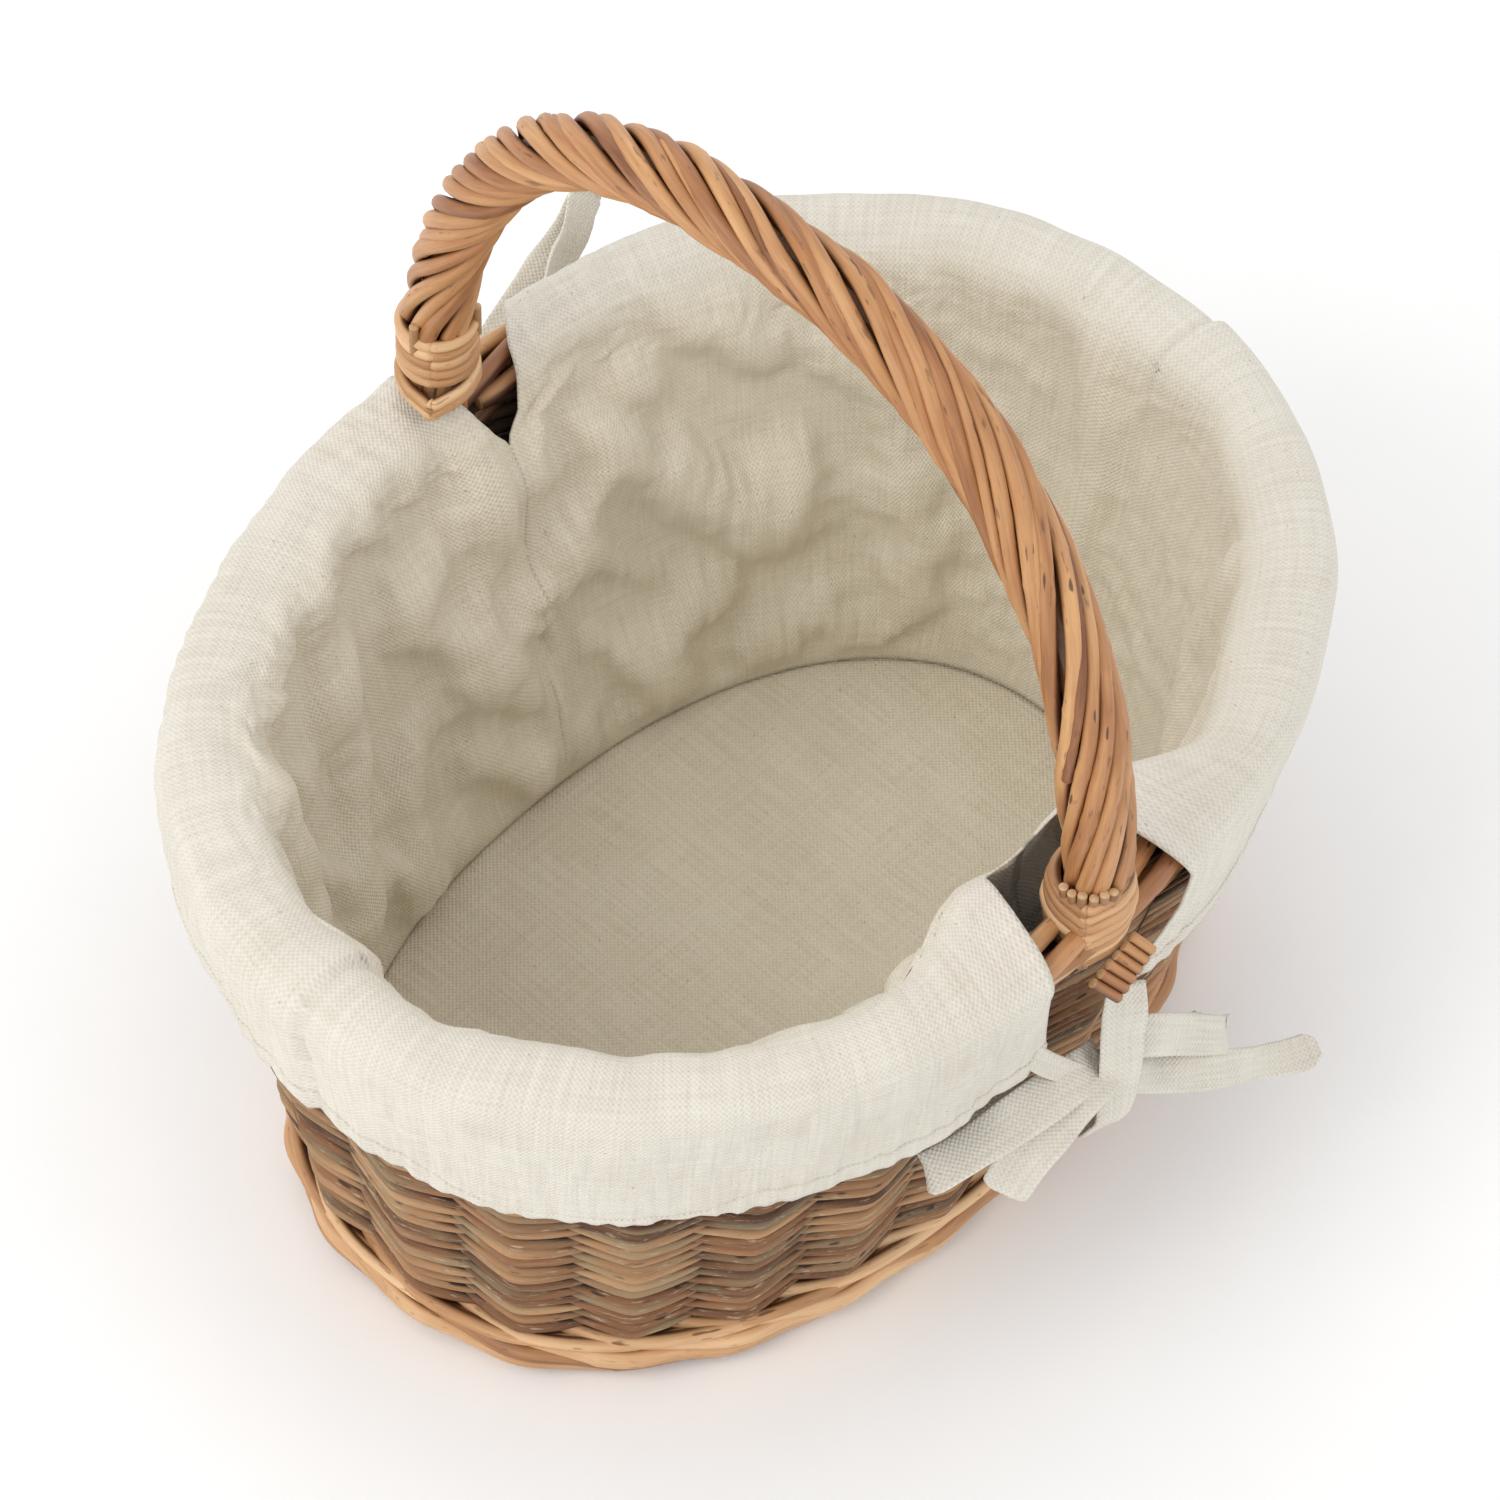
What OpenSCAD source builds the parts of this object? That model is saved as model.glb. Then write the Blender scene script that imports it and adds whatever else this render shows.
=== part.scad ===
// Oval willow bread basket with a fixed twisted handle and a tied-in cotton liner.
// Millimetres. Z is up, X runs along the basket, the handle stands in the YZ plane.
// The origin is the middle of the foot on the table.

/* [Basket] */
// Half length of the basket at the middle of the rim border
rim_half_x = 210; // [195:1:225]
// Half width of the basket at the middle of the rim border
rim_half_y = 161; // [150:1:175]
// Height of the middle of the rim border
rim_z = 212; // [190:1:235]
// Half length of the ring of uprights where they leave the base
base_half_x = 181; // [170:1:190]
// Half width of the ring of uprights where they leave the base
base_half_y = 122; // [115:1:132]
// Exponent of the oval, 2 is a true ellipse
oval_power = 2.2; // [2:0.05:2.6]

/* [Willow] */
// Number of uprights round the side
stake_count = 24; // [20:2:28]
// Diameter of one upright
stake_d = 7; // [6:0.5:8]
// Thickness of the weaving rods of the side
weaver_d = 5.5; // [4.5:0.5:6.5]
// Rounds of randing between the two wales
weave_rounds = 22; // [12:1:24]
// How far the rods bulge over each upright
weave_bulge = 2; // [0:0.5:3]
// Diameter of the rods of the rim border
border_d = 8.5; // [7.5:0.5:9]
// Thickness of the foot border
foot_h = 13; // [11:0.5:15]

/* [Handle] */
// Height of the middle of the handle at its top
handle_top_z = 432; // [400:1:460]
// Squareness of the arch, 2 is a half ellipse
arch_power = 2.35; // [2:0.05:2.8]
// Diameter of the bow rod inside the handle
bow_d = 14; // [12:0.5:16]
// Diameter of one wrapping rod of the handle
handle_rod_d = 7; // [6:0.5:8]
// Number of wrapping rods
handle_rod_count = 9; // [7:1:10]
// Turns that the wrapping rods make over the whole arch
handle_turns = 2; // [0.5:0.25:3]

/* [Liner] */
// Thickness of the canvas
cloth_t = 1.5; // [1:0.1:2]
// Height of the lower edge of the turned-down skirt
hem_z = 152; // [130:1:175]
// Width of the hem
hem_w = 10; // [6:1:14]
// Half width of the cut-out round each handle foot, in degrees round the rim
notch_half = 9; // [8:0.5:14]
// Width of the tie straps
tie_w = 16; // [12:1:20]

/* [Hidden] */

gap = 0.4;
base_z = 5.4;
base_t = 12;
base_top = base_z + base_t;
stick_d = 8;
stake_z = foot_h + 1;
stake_r = stake_d / 2;
wale_d = 6;
wale_z = foot_h + 3.2;
wale_pitch = wale_d + 0.1;
weave_z0 = wale_z + 1.5 * wale_pitch + 0.3;
weave_z1 = rim_z - border_d / 2 - wale_d - 1;
row_h = (weave_z1 - weave_z0) / weave_rounds;
first_stake = 5;
spread = 4.4;
handle_y = rim_half_y - 1;
rod_ring = (bow_d + handle_rod_d) / 2 + gap;
grip_r = rod_ring + handle_rod_d / 2;
collar_z = rim_z + border_d / 2 + 5;
collar_rows = 7;
collar_rod = 4.6;
collar_pitch = collar_rod + 0.1;
collar_drop = 10;
rim_off = border_d + 4.3;
hem_off = 15;
skirt_top = rim_z + border_d / 2 + 4;
cloth_in = stake_r + weaver_d + gap;
willow = "peru";
brown = "saddlebrown";
buff = "burlywood";
canvas = "linen";

// ---- shared geometry ----
function spow(v, p) = sign(v) * pow(abs(v), p);
// Turns evenly counted degrees into the oval's own angle, for even steps along the rim
function even(p) = p + spread * sin(2 * p);
function oval(a, b, p) = [a * spow(cos(even(p)), 2 / oval_power), b * spow(sin(even(p)), 2 / oval_power)];
// Half axes of the ring of uprights at a height
function rise(z) = (z - stake_z) / (rim_z - stake_z);
function half_x(z) = base_half_x + (rim_half_x - base_half_x) * rise(z);
function half_y(z) = base_half_y + (rim_half_y - base_half_y) * rise(z);
// Point on the wall: degrees round, outward offset, height
function on_wall(p, off, z) = concat(oval(half_x(z) + off, half_y(z) + off, p), [z]);

// Triangles over a list of sections with k points each
function skin(n, k, closed) = concat(
    [for (i = [0:(closed ? n - 1 : n - 2)], j = [0:k - 1])
        [i * k + j, ((i + 1) % n) * k + (j + 1) % k, i * k + (j + 1) % k]],
    [for (i = [0:(closed ? n - 1 : n - 2)], j = [0:k - 1])
        [i * k + j, ((i + 1) % n) * k + j, ((i + 1) % n) * k + (j + 1) % k]],
    closed ? [] : [[for (j = [0:k - 1]) j]],
    closed ? [] : [[for (j = [k - 1:-1:0]) (n - 1) * k + j]]);

module loft(sections, closed = false) {
    n = len(sections);
    k = len(sections[0]);
    polyhedron([for (s = sections, p = s) p], skin(n, k, closed), convexity = 10);
}

// A ring or part of a ring round the basket; profile lists [offset, height], clockwise
module wall_ring(profile, steps = 48, from = 0, to = 360) {
    closed = to - from >= 360;
    n = closed ? steps : steps + 1;
    loft([for (i = [0:n - 1])
        [for (q = profile) on_wall(from + (to - from) * i / steps, q[0], q[1])]], closed);
}

function round_profile(off, z, r, k = 6) =
    [for (j = [0:k - 1]) [off + r * cos(360 * j / k + 180 / k), z - r * sin(360 * j / k + 180 / k)]];

// Tube along a list of points, the side vector of each section given by a second list
function unit(v) = v / norm(v);
function along(path, i) = unit(path[min(i + 1, len(path) - 1)] - path[max(i - 1, 0)]);
function tube_sections(path, radii, k, side) =
    [for (i = [0:len(path) - 1])
        let (d = along(path, i), u = unit(cross(d, side)), w = cross(d, u))
            [for (j = [0:k - 1]) path[i] + radii[i] * (u * cos(360 * j / k) + w * sin(360 * j / k))]];

// Flat strap along a path, width across `wide`
module strap(path, wide, w = tie_w, t = 2) {
    loft([for (i = [0:len(path) - 1])
        let (u = unit(wide[i]) * w / 2, v = unit(cross(along(path, i), wide[i])) * t / 2)
            [path[i] + u + v, path[i] - u + v, path[i] - u - v, path[i] + u - v]]);
}

// Middle line of the handle, a runs from 0 at the front foot to 180 at the back
function arch(a) = [0, -handle_y * spow(cos(a), 2 / arch_power),
    rim_z + (handle_top_z - rim_z) * spow(sin(a), 2 / arch_power)];

// ---- base ----
module base_sticks_long() {
    color(buff)
        for (y = [-27, 0, 27])
            translate([0, y, base_z + base_t / 2])
                rotate([0, 90, 0])
                    cylinder(d = stick_d, h = 2 * base_half_x - 44, center = true, $fn = 24);
}

module base_sticks_cross() {
    color(buff)
        for (x = [-111, -74, -37, 0, 37, 74, 111])
            for (s = [-1, 1])
                translate([x, s * 68, base_z + base_t / 2])
                    rotate([90, 0, 0])
                        cylinder(d = stick_d, h = 68, center = true, $fn = 24);
}

module base_weave() {
    color(willow)
        difference() {
            translate([0, 0, base_z])
                linear_extrude(base_t)
                    polygon([for (i = [0:71]) oval(base_half_x - 9, base_half_y - 9, 5 * i)]);
            for (y = [-27, 0, 27])
                translate([0, y, base_z + base_t / 2])
                    rotate([0, 90, 0])
                        cylinder(d = stick_d + gap, h = 2 * base_half_x - 43, center = true, $fn = 24);
            for (x = [-111, -74, -37, 0, 37, 74, 111])
                for (s = [-1, 1])
                    translate([x, s * 68, base_z + base_t / 2])
                        rotate([90, 0, 0])
                            cylinder(d = stick_d + gap, h = 69, center = true, $fn = 24);
        }
}

// Rolled foot border; its underside is one flat ring on the table
module foot_border() {
    color(buff)
        wall_ring([[11, 3], [11, 9], [8, foot_h], [-4, foot_h], [-8, 10], [-8, 3], [-5, 0], [8, 0]], 72);
}

// Two rods outside the uprights and one inside, locking them upright
module upsett_wale() {
    color(buff) {
        for (i = [0, 1])
            wall_ring(round_profile(stake_r + wale_d / 2 + gap, wale_z + wale_pitch * i, wale_d / 2), 48);
        wall_ring(round_profile(-stake_r - wale_d / 2 - gap, wale_z + 4, wale_d / 2), 48);
    }
}

// ---- side ----
module stakes() {
    color(willow)
        for (i = [0:stake_count - 1]) {
            p = first_stake + i * 360 / stake_count;
            a = on_wall(p, 0, stake_z);
            b = on_wall(p, 0, rim_z - border_d / 2 - 1);
            d = b - a;
            translate(a)
                rotate([0, acos(d[2] / norm(d)), atan2(d[1], d[0])])
                    cylinder(d = stake_d, h = norm(d), $fn = 24);
        }
}

// Outer strokes of the randing: a ridge for each round, bulging over each upright
module side_weave_outer() {
    steps = 2 * stake_count;
    inner = stake_r + gap;
    outer = inner + weaver_d - weave_bulge;
    color(brown)
        loft([for (i = [0:steps - 1])
            let (p = first_stake + i * 360 / steps, b = (i % 2 == 0) ? weave_bulge : 0)
                concat(
                    [on_wall(p, inner, weave_z0), on_wall(p, inner, weave_z1)],
                    [for (r = [weave_rounds - 1:-1:0]) for (h = [0.92, 0.5])
                        on_wall(p, outer + b - (h > 0.9 ? 1.6 : 0), weave_z0 + (r + h) * row_h)],
                    [on_wall(p, outer + b - 1.6, weave_z0 + 0.3)])], true);
}

module side_weave_inner() {
    o = -stake_r - gap;
    color(brown)
        wall_ring([[o - weaver_d, weave_z0], [o - weaver_d, weave_z1], [o, weave_z1], [o, weave_z0]], 48);
}

module top_wale() {
    z = weave_z1 + wale_d / 2 + 0.2;
    color(buff)
        for (s = [-1, 1])
            wall_ring(round_profile(s * (stake_r + wale_d / 2 + gap), z, wale_d / 2), 48);
}

// The uprights are bent down and plaited into a border of two thick rods
module rim_border() {
    r = border_d / 2;
    color(willow)
        for (s = [-1, 1])
            wall_ring(round_profile(s * (r + 3.6), rim_z, r), 72);
}

// ---- handle ----
module handle_bow() {
    n = 48;
    tail_z = [130, 160, 190, rim_z - 6];
    front = [for (z = tail_z) on_wall(-90, 0, z)];
    back = [for (i = [3:-1:0]) on_wall(90, 0, tail_z[i])];
    path = concat(front, [for (i = [0:n]) arch(5 + 170 * i / n)], back);
    radii = concat([2.4, 3, 3, 3], [for (i = [0:n]) bow_d / 2], [3, 3, 3, 2.4]);
    color(willow)
        loft(tube_sections(path, radii, 10, [1, 0, 0]));
}

// Rods that wind round the bow from foot to foot
module handle_rods() {
    n = 44;
    a0 = 9;
    rod_r = min(handle_rod_d / 2, rod_ring * sin(180 / handle_rod_count) - 0.2);
    color(willow)
        for (r = [0:handle_rod_count - 1]) {
            path = [for (i = [0:n])
                let (a = a0 + (180 - 2 * a0) * i / n,
                     d = unit(arch(a + 1) - arch(a - 1)),
                     u = cross(d, [1, 0, 0]),
                     t = 360 * (r / handle_rod_count + handle_turns * i / n))
                        arch(a) + rod_ring * ([1, 0, 0] * cos(t) + u * sin(t))];
            loft(tube_sections(path, [for (i = [0:n]) rod_r], 6, [1, 0.1, 0.07]));
        }
}

// One turn of binding rod round the handle foot, dipping on its outer side
module collar_turn(y, z, side, drop) {
    n = 24;
    r = grip_r + collar_rod / 2 + 0.6;
    color(buff)
        loft([for (i = [0:n - 1])
            let (t = 360 * i / n, dip = drop * max(0, 1 - abs(t > 180 ? 360 - t : t) / 75))
                [for (j = [0:5])
                    let (c = collar_rod / 2 * cos(60 * j), s = collar_rod / 2 * sin(60 * j))
                        [(r + c) * sin(t), y + side * (r + c) * cos(t), z - dip - side * s]]], true);
}

module collar_front() {
    for (i = [0:collar_rows - 1])
        collar_turn(-handle_y + 1, collar_z + i * collar_pitch, -1, collar_drop);
}

module collar_back() {
    for (i = [0:collar_rows - 2])
        collar_turn(handle_y - 1, collar_z + 14 + i * collar_pitch, 1, 0);
}

// Cut ends of the binding rods, standing above the dip of the front collar
module collar_rod_ends() {
    z = collar_z + collar_rows * collar_pitch - collar_rod / 2;
    r = grip_r + 3.2;
    color(buff)
        for (t = [-50, -32, -14, 14, 32, 50])
            translate([r * sin(t), -handle_y + 1 - r * cos(t), z + abs(t) / 25])
                cylinder(d = 3.8, h = 9, $fn = 24);
}

// Trimmed ends of the border rods, fanned over the rim beside the front collar
module border_rod_ends() {
    color(willow)
        for (i = [0:5])
            translate([-2 + 5.4 * i, -rim_half_y - border_d - 5.4, rim_z - 1 + i])
                rotate([0, 150, 0])
                    cylinder(d = 4.2, h = 17, $fn = 24);
}

// ---- liner ----
module liner_floor() {
    inset = cloth_in + 5;
    color(canvas)
        translate([0, 0, base_top + gap])
            linear_extrude(cloth_t)
                polygon([for (i = [0:71]) oval(base_half_x - inset, base_half_y - inset, 5 * i)]);
}

module liner_wall(from, to) {
    i0 = -cloth_in;
    i1 = -border_d - 4.2;
    zt = rim_z - 2;
    zb = base_top + gap + cloth_t + 0.3;
    zm = weave_z1 - 20;
    color(canvas)
        wall_ring([[i0 - cloth_t, zb], [i0 - cloth_t, zm], [i1 - cloth_t, zt],
            [i1, zt], [i0, zm], [i0, zb]], 24, from, to);
}

module liner_wall_front() {
    liner_wall(180.3, 359.7);
}

module liner_wall_back() {
    liner_wall(0.3, 179.7);
}

// Canvas turned over the border and down the outside
module skirt(from, to) {
    i1 = -border_d - 4.2;
    z0 = rim_z - 2 + gap;
    z1 = skirt_top;
    zh = hem_z + hem_w + gap;
    color(canvas)
        wall_ring([
            [i1 - cloth_t, z0], [i1 - cloth_t, z1 - 5], [i1 + 3, z1 + 0.5], [0, z1 + cloth_t],
            [rim_off - 4, z1 + 0.5], [rim_off + cloth_t, z1 - 6], [hem_off + cloth_t, zh],
            [hem_off, zh], [rim_off, z1 - 6], [rim_off - 5, z1 - 1.2], [0, z1],
            [i1 + 4, z1 - 1.2], [i1, z1 - 5.5], [i1, z0]], 36, from, to);
}

module skirt_left() {
    skirt(90 + notch_half, 270 - notch_half);
}

module skirt_right() {
    skirt(-90 + notch_half, 90 - notch_half);
}

module hem(from, to) {
    o = hem_off - 0.4;
    t = 2 * cloth_t;
    color(canvas)
        wall_ring([[o, hem_z], [o, hem_z + hem_w], [o + t, hem_z + hem_w], [o + t, hem_z]], 36, from, to);
}

module hem_left() {
    hem(90 + notch_half, 270 - notch_half);
}

module hem_right() {
    hem(-90 + notch_half, 90 - notch_half);
}

// ---- ties ----
// The knot hangs on the outside of the wall, below the handle foot
knot_at = [3, -rim_half_y - 11, hem_z - 36];
knot_d = 17;

// Strap from the corner of the skirt to the knot, then a loop and a loose tail
module tie_side(s, loop, tail) {
    start = on_wall(-90 + s * (notch_half + 2), hem_off + 5, hem_z + 14);
    near = knot_at + [s * 8, -3, 8];
    face = [0.1, -0.3, 1];
    color(canvas) {
        strap([start, (start + near) / 2 + [0, -2, -1], near], [face, face, face]);
        strap([for (q = loop) knot_at + [s * q[0], -q[1], q[2]]], [for (q = loop) face]);
        strap([for (q = tail) knot_at + [s * q[0], -q[1], q[2]]], [for (q = tail) face]);
    }
}

module tie_front_right() {
    tie_side(1, [[10, 6, 2], [24, 16, 3], [42, 21, 0], [54, 18, -5], [44, 13, -2], [26, 8, 1], [11, 1, 1]],
        [[10, 3, -9], [34, 12, -22], [62, 19, -36], [86, 23, -47], [100, 24, -52]]);
}

module tie_front_left() {
    tie_side(-1, [[10, 5, 2], [28, 11, 6], [52, 9, 14], [72, 4, 20], [54, 0, 14], [30, 2, 6], [11, 0, 2]],
        [[9, 3, -10], [26, 6, -16], [44, 4, -15], [60, 1, -10]]);
}

module knot_front() {
    color(canvas)
        translate(knot_at)
            sphere(d = knot_d, $fn = 32);
}

module tie_back_right() {
    rotate([0, 0, 180]) tie_front_right();
}

module tie_back_left() {
    rotate([0, 0, 180]) tie_front_left();
}

module knot_back() {
    rotate([0, 0, 180]) knot_front();
}

base_sticks_long();
base_sticks_cross();
base_weave();
foot_border();
upsett_wale();
stakes();
side_weave_outer();
side_weave_inner();
top_wale();
rim_border();
handle_bow();
handle_rods();
collar_front();
collar_back();
collar_rod_ends();
border_rod_ends();
liner_floor();
liner_wall_front();
liner_wall_back();
skirt_left();
skirt_right();
hem_left();
hem_right();
tie_front_left();
tie_front_right();
knot_front();
tie_back_left();
tie_back_right();
knot_back();
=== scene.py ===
import math

import bpy
import numpy as np
from mathutils import Matrix, Vector, noise


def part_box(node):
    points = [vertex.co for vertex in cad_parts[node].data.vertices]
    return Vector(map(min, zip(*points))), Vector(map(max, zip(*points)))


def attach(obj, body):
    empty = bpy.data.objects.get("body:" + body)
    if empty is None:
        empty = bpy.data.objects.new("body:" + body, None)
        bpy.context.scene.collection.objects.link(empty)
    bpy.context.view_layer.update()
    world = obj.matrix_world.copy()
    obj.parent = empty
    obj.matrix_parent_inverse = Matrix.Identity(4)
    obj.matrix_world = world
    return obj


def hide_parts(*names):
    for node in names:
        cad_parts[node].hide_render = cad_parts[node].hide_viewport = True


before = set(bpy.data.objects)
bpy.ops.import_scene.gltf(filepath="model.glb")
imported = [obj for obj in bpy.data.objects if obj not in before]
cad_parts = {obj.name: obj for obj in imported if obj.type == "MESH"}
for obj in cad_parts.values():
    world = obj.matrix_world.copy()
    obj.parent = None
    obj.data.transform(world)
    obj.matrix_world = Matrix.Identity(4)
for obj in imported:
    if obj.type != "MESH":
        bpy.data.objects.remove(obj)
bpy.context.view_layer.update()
mm = 0.001
print("frame loaded")

wall = {
    "ovalPower": 2.2,
    "evenSpread": 4.4,      # degrees that even the spacing round the oval
    "stakeCount": 24,
    "firstStake": 5.0,      # degrees
    "borderGap": 3.6 * mm,
    "footProud": 10.3 * mm,
    "bowRadius": 7 * mm,
    "bowInset": 1 * mm,
    "archPower": 2.35,
}

# Where things are, read from the frame
borderLow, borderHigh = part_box("rim_border")
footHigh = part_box("foot_border")[1]
borderRadius = (borderHigh.z - borderLow.z) / 2
rimX = borderHigh.x - 2 * borderRadius - wall["borderGap"]
rimY = borderHigh.y - 2 * borderRadius - wall["borderGap"]
rimZ = (borderHigh.z + borderLow.z) / 2
baseX = footHigh.x - wall["footProud"]
baseY = footHigh.y - wall["footProud"]
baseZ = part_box("stakes")[0].z
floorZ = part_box("liner_floor")[1].z
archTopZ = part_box("handle_bow")[1].z - wall["bowRadius"]
handleY = rimY - wall["bowInset"]
spacing = 360 / wall["stakeCount"]


def signedPower(value, power):
    return np.sign(value) * np.abs(value) ** power


def unit(vectors):
    return vectors / np.maximum(np.linalg.norm(vectors, axis=-1, keepdims=True), 1e-12)


def smoothStep(value, low, high):
    t = np.clip((value - low) / (high - low), 0, 1)
    return t * t * (3 - 2 * t)


# Degrees from a direction, between -180 and 180
def degreesFrom(degrees, direction):
    return (degrees - direction + 180) % 360 - 180


# Values between the pairs of a table
def lookUp(table, place):
    return np.interp(place, *np.transpose(table))


# A row of values with its corners rounded off
def eased(values):
    return np.convolve(np.pad(values, 3, mode="edge"), np.ones(7) / 7, mode="valid")


def noiseAt(points, scale, seed):
    shift = Vector((seed * 7.3, seed * 3.1, seed * 5.7))
    return np.array([noise.noise(Vector(point) + shift) for point in points * np.array(scale)])


# x and y on an oval, from turns in radians
def onOval(turn, halfX, halfY):
    power = 2 / wall["ovalPower"]
    return halfX * signedPower(np.cos(turn), power), halfY * signedPower(np.sin(turn), power)


# A point on the basket's wall: degrees round, outward offset from the uprights, height
def onWall(degrees, offset, z):
    turn = np.radians(np.asarray(degrees, float))
    turn = turn + math.radians(wall["evenSpread"]) * np.sin(2 * turn)
    rise = (np.asarray(z, float) - baseZ) / (rimZ - baseZ)
    x, y = onOval(turn, baseX + (rimX - baseX) * rise + offset, baseY + (rimY - baseY) * rise + offset)
    return np.stack(np.broadcast_arrays(x, y, z), axis=-1)


# Which way faces outward at points near an oval of that size
def outwardAt(points, halfX, halfY):
    return unit(points * (halfX ** -2, halfY ** -2, 0))


# The handle's middle line, 0 at the front foot and 180 at the back foot
def onArch(degrees):
    turn = np.radians(np.asarray(degrees, float))
    power = 2 / wall["archPower"]
    y = -handleY * signedPower(np.cos(turn), power)
    z = rimZ + (archTopZ - rimZ) * signedPower(np.sin(turn), power)
    return np.stack(np.broadcast_arrays(0 * y, y, z), axis=-1)


# How far along a line each of its points is
def runAlong(points):
    return np.concatenate([[0], np.cumsum(np.linalg.norm(np.diff(points, axis=0), axis=1))])


def spacedEvenly(points, steps):
    run = runAlong(points)
    even = np.linspace(0, run[-1], steps)
    return np.stack([np.interp(even, run, column) for column in points.T], axis=1)


# A share t of the way from b to c, on a smooth curve that comes from a and goes on to d
def onCurve(a, b, c, d, t):
    return 0.5 * (2 * b + (c - a) * t + (2 * a - 5 * b + 4 * c - d) * t ** 2
                  + (3 * b - a - 3 * c + d) * t ** 3)


# Smooth curve through given points, as many steps as asked
def smoothPath(points, steps):
    points = np.asarray(points, float)
    ends = [2 * points[0] - points[1], *points, 2 * points[-1] - points[-2]]
    made = [onCurve(*ends[i:i + 4], t) for i in range(len(points) - 1) for t in np.arange(0, 1, 0.02)]
    return spacedEvenly(np.array([*made, points[-1]]), steps)


# Smooth values of a grid's rows, at places between them
def smoothRows(grid, place):
    last = len(grid) - 1
    i = np.clip(np.floor(place).astype(int), 0, last - 1)
    t = (np.asarray(place) - i)[:, None, None]
    return onCurve(grid[np.maximum(i - 1, 0)], grid[i], grid[i + 1], grid[np.minimum(i + 2, last)], t)


# A socket that can be added, subtracted and multiplied
class Value:
    def __init__(self, finish, socket):
        self.finish = finish
        self.socket = socket

    def maths(self, operation, left, right):
        return self.finish.add("ShaderNodeMath", {"operation": operation}, {0: left, 1: right})

    def __add__(self, other):
        return self.maths("ADD", self, other)

    def __radd__(self, other):
        return self.maths("ADD", other, self)

    def __sub__(self, other):
        return self.maths("SUBTRACT", self, other)

    def __rsub__(self, other):
        return self.maths("SUBTRACT", other, self)

    def __mul__(self, other):
        return self.maths("MULTIPLY", self, other)

    def __rmul__(self, other):
        return self.maths("MULTIPLY", other, self)


class Finish:
    def __init__(self, name):
        self.material = bpy.data.materials.new(name)
        self.material.use_nodes = True
        self.tree = self.material.node_tree
        self.tree.nodes.clear()

    # Any node: its type, its settings, then the values or links of its sockets
    def add(self, kind, settings=None, sockets=None, out=0):
        node = self.tree.nodes.new(kind)
        for key, value in (settings or {}).items():
            if key == "stops":
                self.setStops(node.color_ramp, value)
            else:
                setattr(node, key, value)
        for key, value in (sockets or {}).items():
            socket = node.inputs[key]
            if isinstance(value, Value):
                self.tree.links.new(value.socket, socket)
            else:
                socket.default_value = value
        return Value(self, node.outputs[out]) if node.outputs else None

    def setStops(self, ramp, stops):
        while len(ramp.elements) < len(stops):
            ramp.elements.new(0.5)
        for element, (place, colour) in zip(ramp.elements, stops):
            element.position = place
            element.color = (*colour, 1)

    def attribute(self, name, out="Fac"):
        return self.add("ShaderNodeAttribute", {"attribute_name": name}, out=out)

    def scaled(self, vector, factors):
        return self.add("ShaderNodeVectorMath", {"operation": "MULTIPLY"}, {0: vector, 1: factors})

    def noise(self, vector, scale=1.0, detail=2.0, rough=0.5):
        return self.add("ShaderNodeTexNoise", None,
                        {"Vector": vector, "Scale": scale, "Detail": detail, "Roughness": rough})

    # A value stretched so that low becomes 0 and high becomes 1
    def between(self, value, low, high):
        return self.add("ShaderNodeMapRange", {"interpolation_type": "SMOOTHSTEP"},
                        {"Value": value, "From Min": low, "From Max": high})

    def blend(self, factor, a, b, how="MIX"):
        a = a if isinstance(a, Value) else (*a, 1)
        b = b if isinstance(b, Value) else (*b, 1)
        settings = {"data_type": "RGBA", "blend_type": how}
        return self.add("ShaderNodeMix", settings, {0: factor, 6: a, 7: b}, out=2)

    def ramp(self, value, stops):
        return self.add("ShaderNodeValToRGB", {"stops": stops}, {0: value})

    def bump(self, height, strength, distance):
        return self.add("ShaderNodeBump", None,
                        {"Height": height, "Strength": strength, "Distance": distance})

    def shade(self, sockets):
        surface = self.add("ShaderNodeBsdfPrincipled", None, sockets)
        self.add("ShaderNodeOutputMaterial", None, {"Surface": surface})
        return self.material


willowLooks = {
    # dark, mid and light set the bark's tone; crease is the colour of the painted shade, and
    # paintedShadeRange says from where to where a rod is painted darker into a gap
    "honeyWillow": {
        "dark": (0.17, 0.052, 0.016), "mid": (0.42, 0.180, 0.064), "light": (0.68, 0.38, 0.165),
        "crease": (0.060, 0.014, 0.005), "speck": (0.07, 0.025, 0.012), "grey": (0.48, 0.27, 0.13),
        "greyShare": 0.15, "bark": 0.0, "rough": 0.40, "coat": 0.15, "relief": 0.3, "paintedShadeRange": (0.32, 0.70),
    },
    "buffWillow": {
        "dark": (0.24, 0.095, 0.034), "mid": (0.52, 0.265, 0.110), "light": (0.77, 0.50, 0.27),
        "crease": (0.090, 0.026, 0.008), "speck": (0.13, 0.05, 0.02), "grey": (0.60, 0.40, 0.22),
        "greyShare": 0.15, "bark": 0.0, "rough": 0.42, "coat": 0.12, "relief": 0.3, "paintedShadeRange": (0.34, 0.72),
    },
    "brownWillow": {
        "dark": (0.085, 0.034, 0.014), "mid": (0.27, 0.118, 0.046), "light": (0.47, 0.27, 0.13),
        "crease": (0.028, 0.011, 0.005), "speck": (0.025, 0.012, 0.008), "grey": (0.27, 0.22, 0.12),
        "greyShare": 0.6, "bark": 0.75, "rough": 0.62, "coat": 0.0, "relief": 0.9, "paintedShadeRange": (0.30, 0.66),
    },
}
willowSame = {      # what all three kinds share
    "scale": (0.56, 0.44, 0.30), "strawDark": (0.42, 0.24, 0.12), "strawPale": (0.72, 0.50, 0.28),
    "coatRoughness": 0.35, "barkDepth": 0.7 * mm,
}


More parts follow.
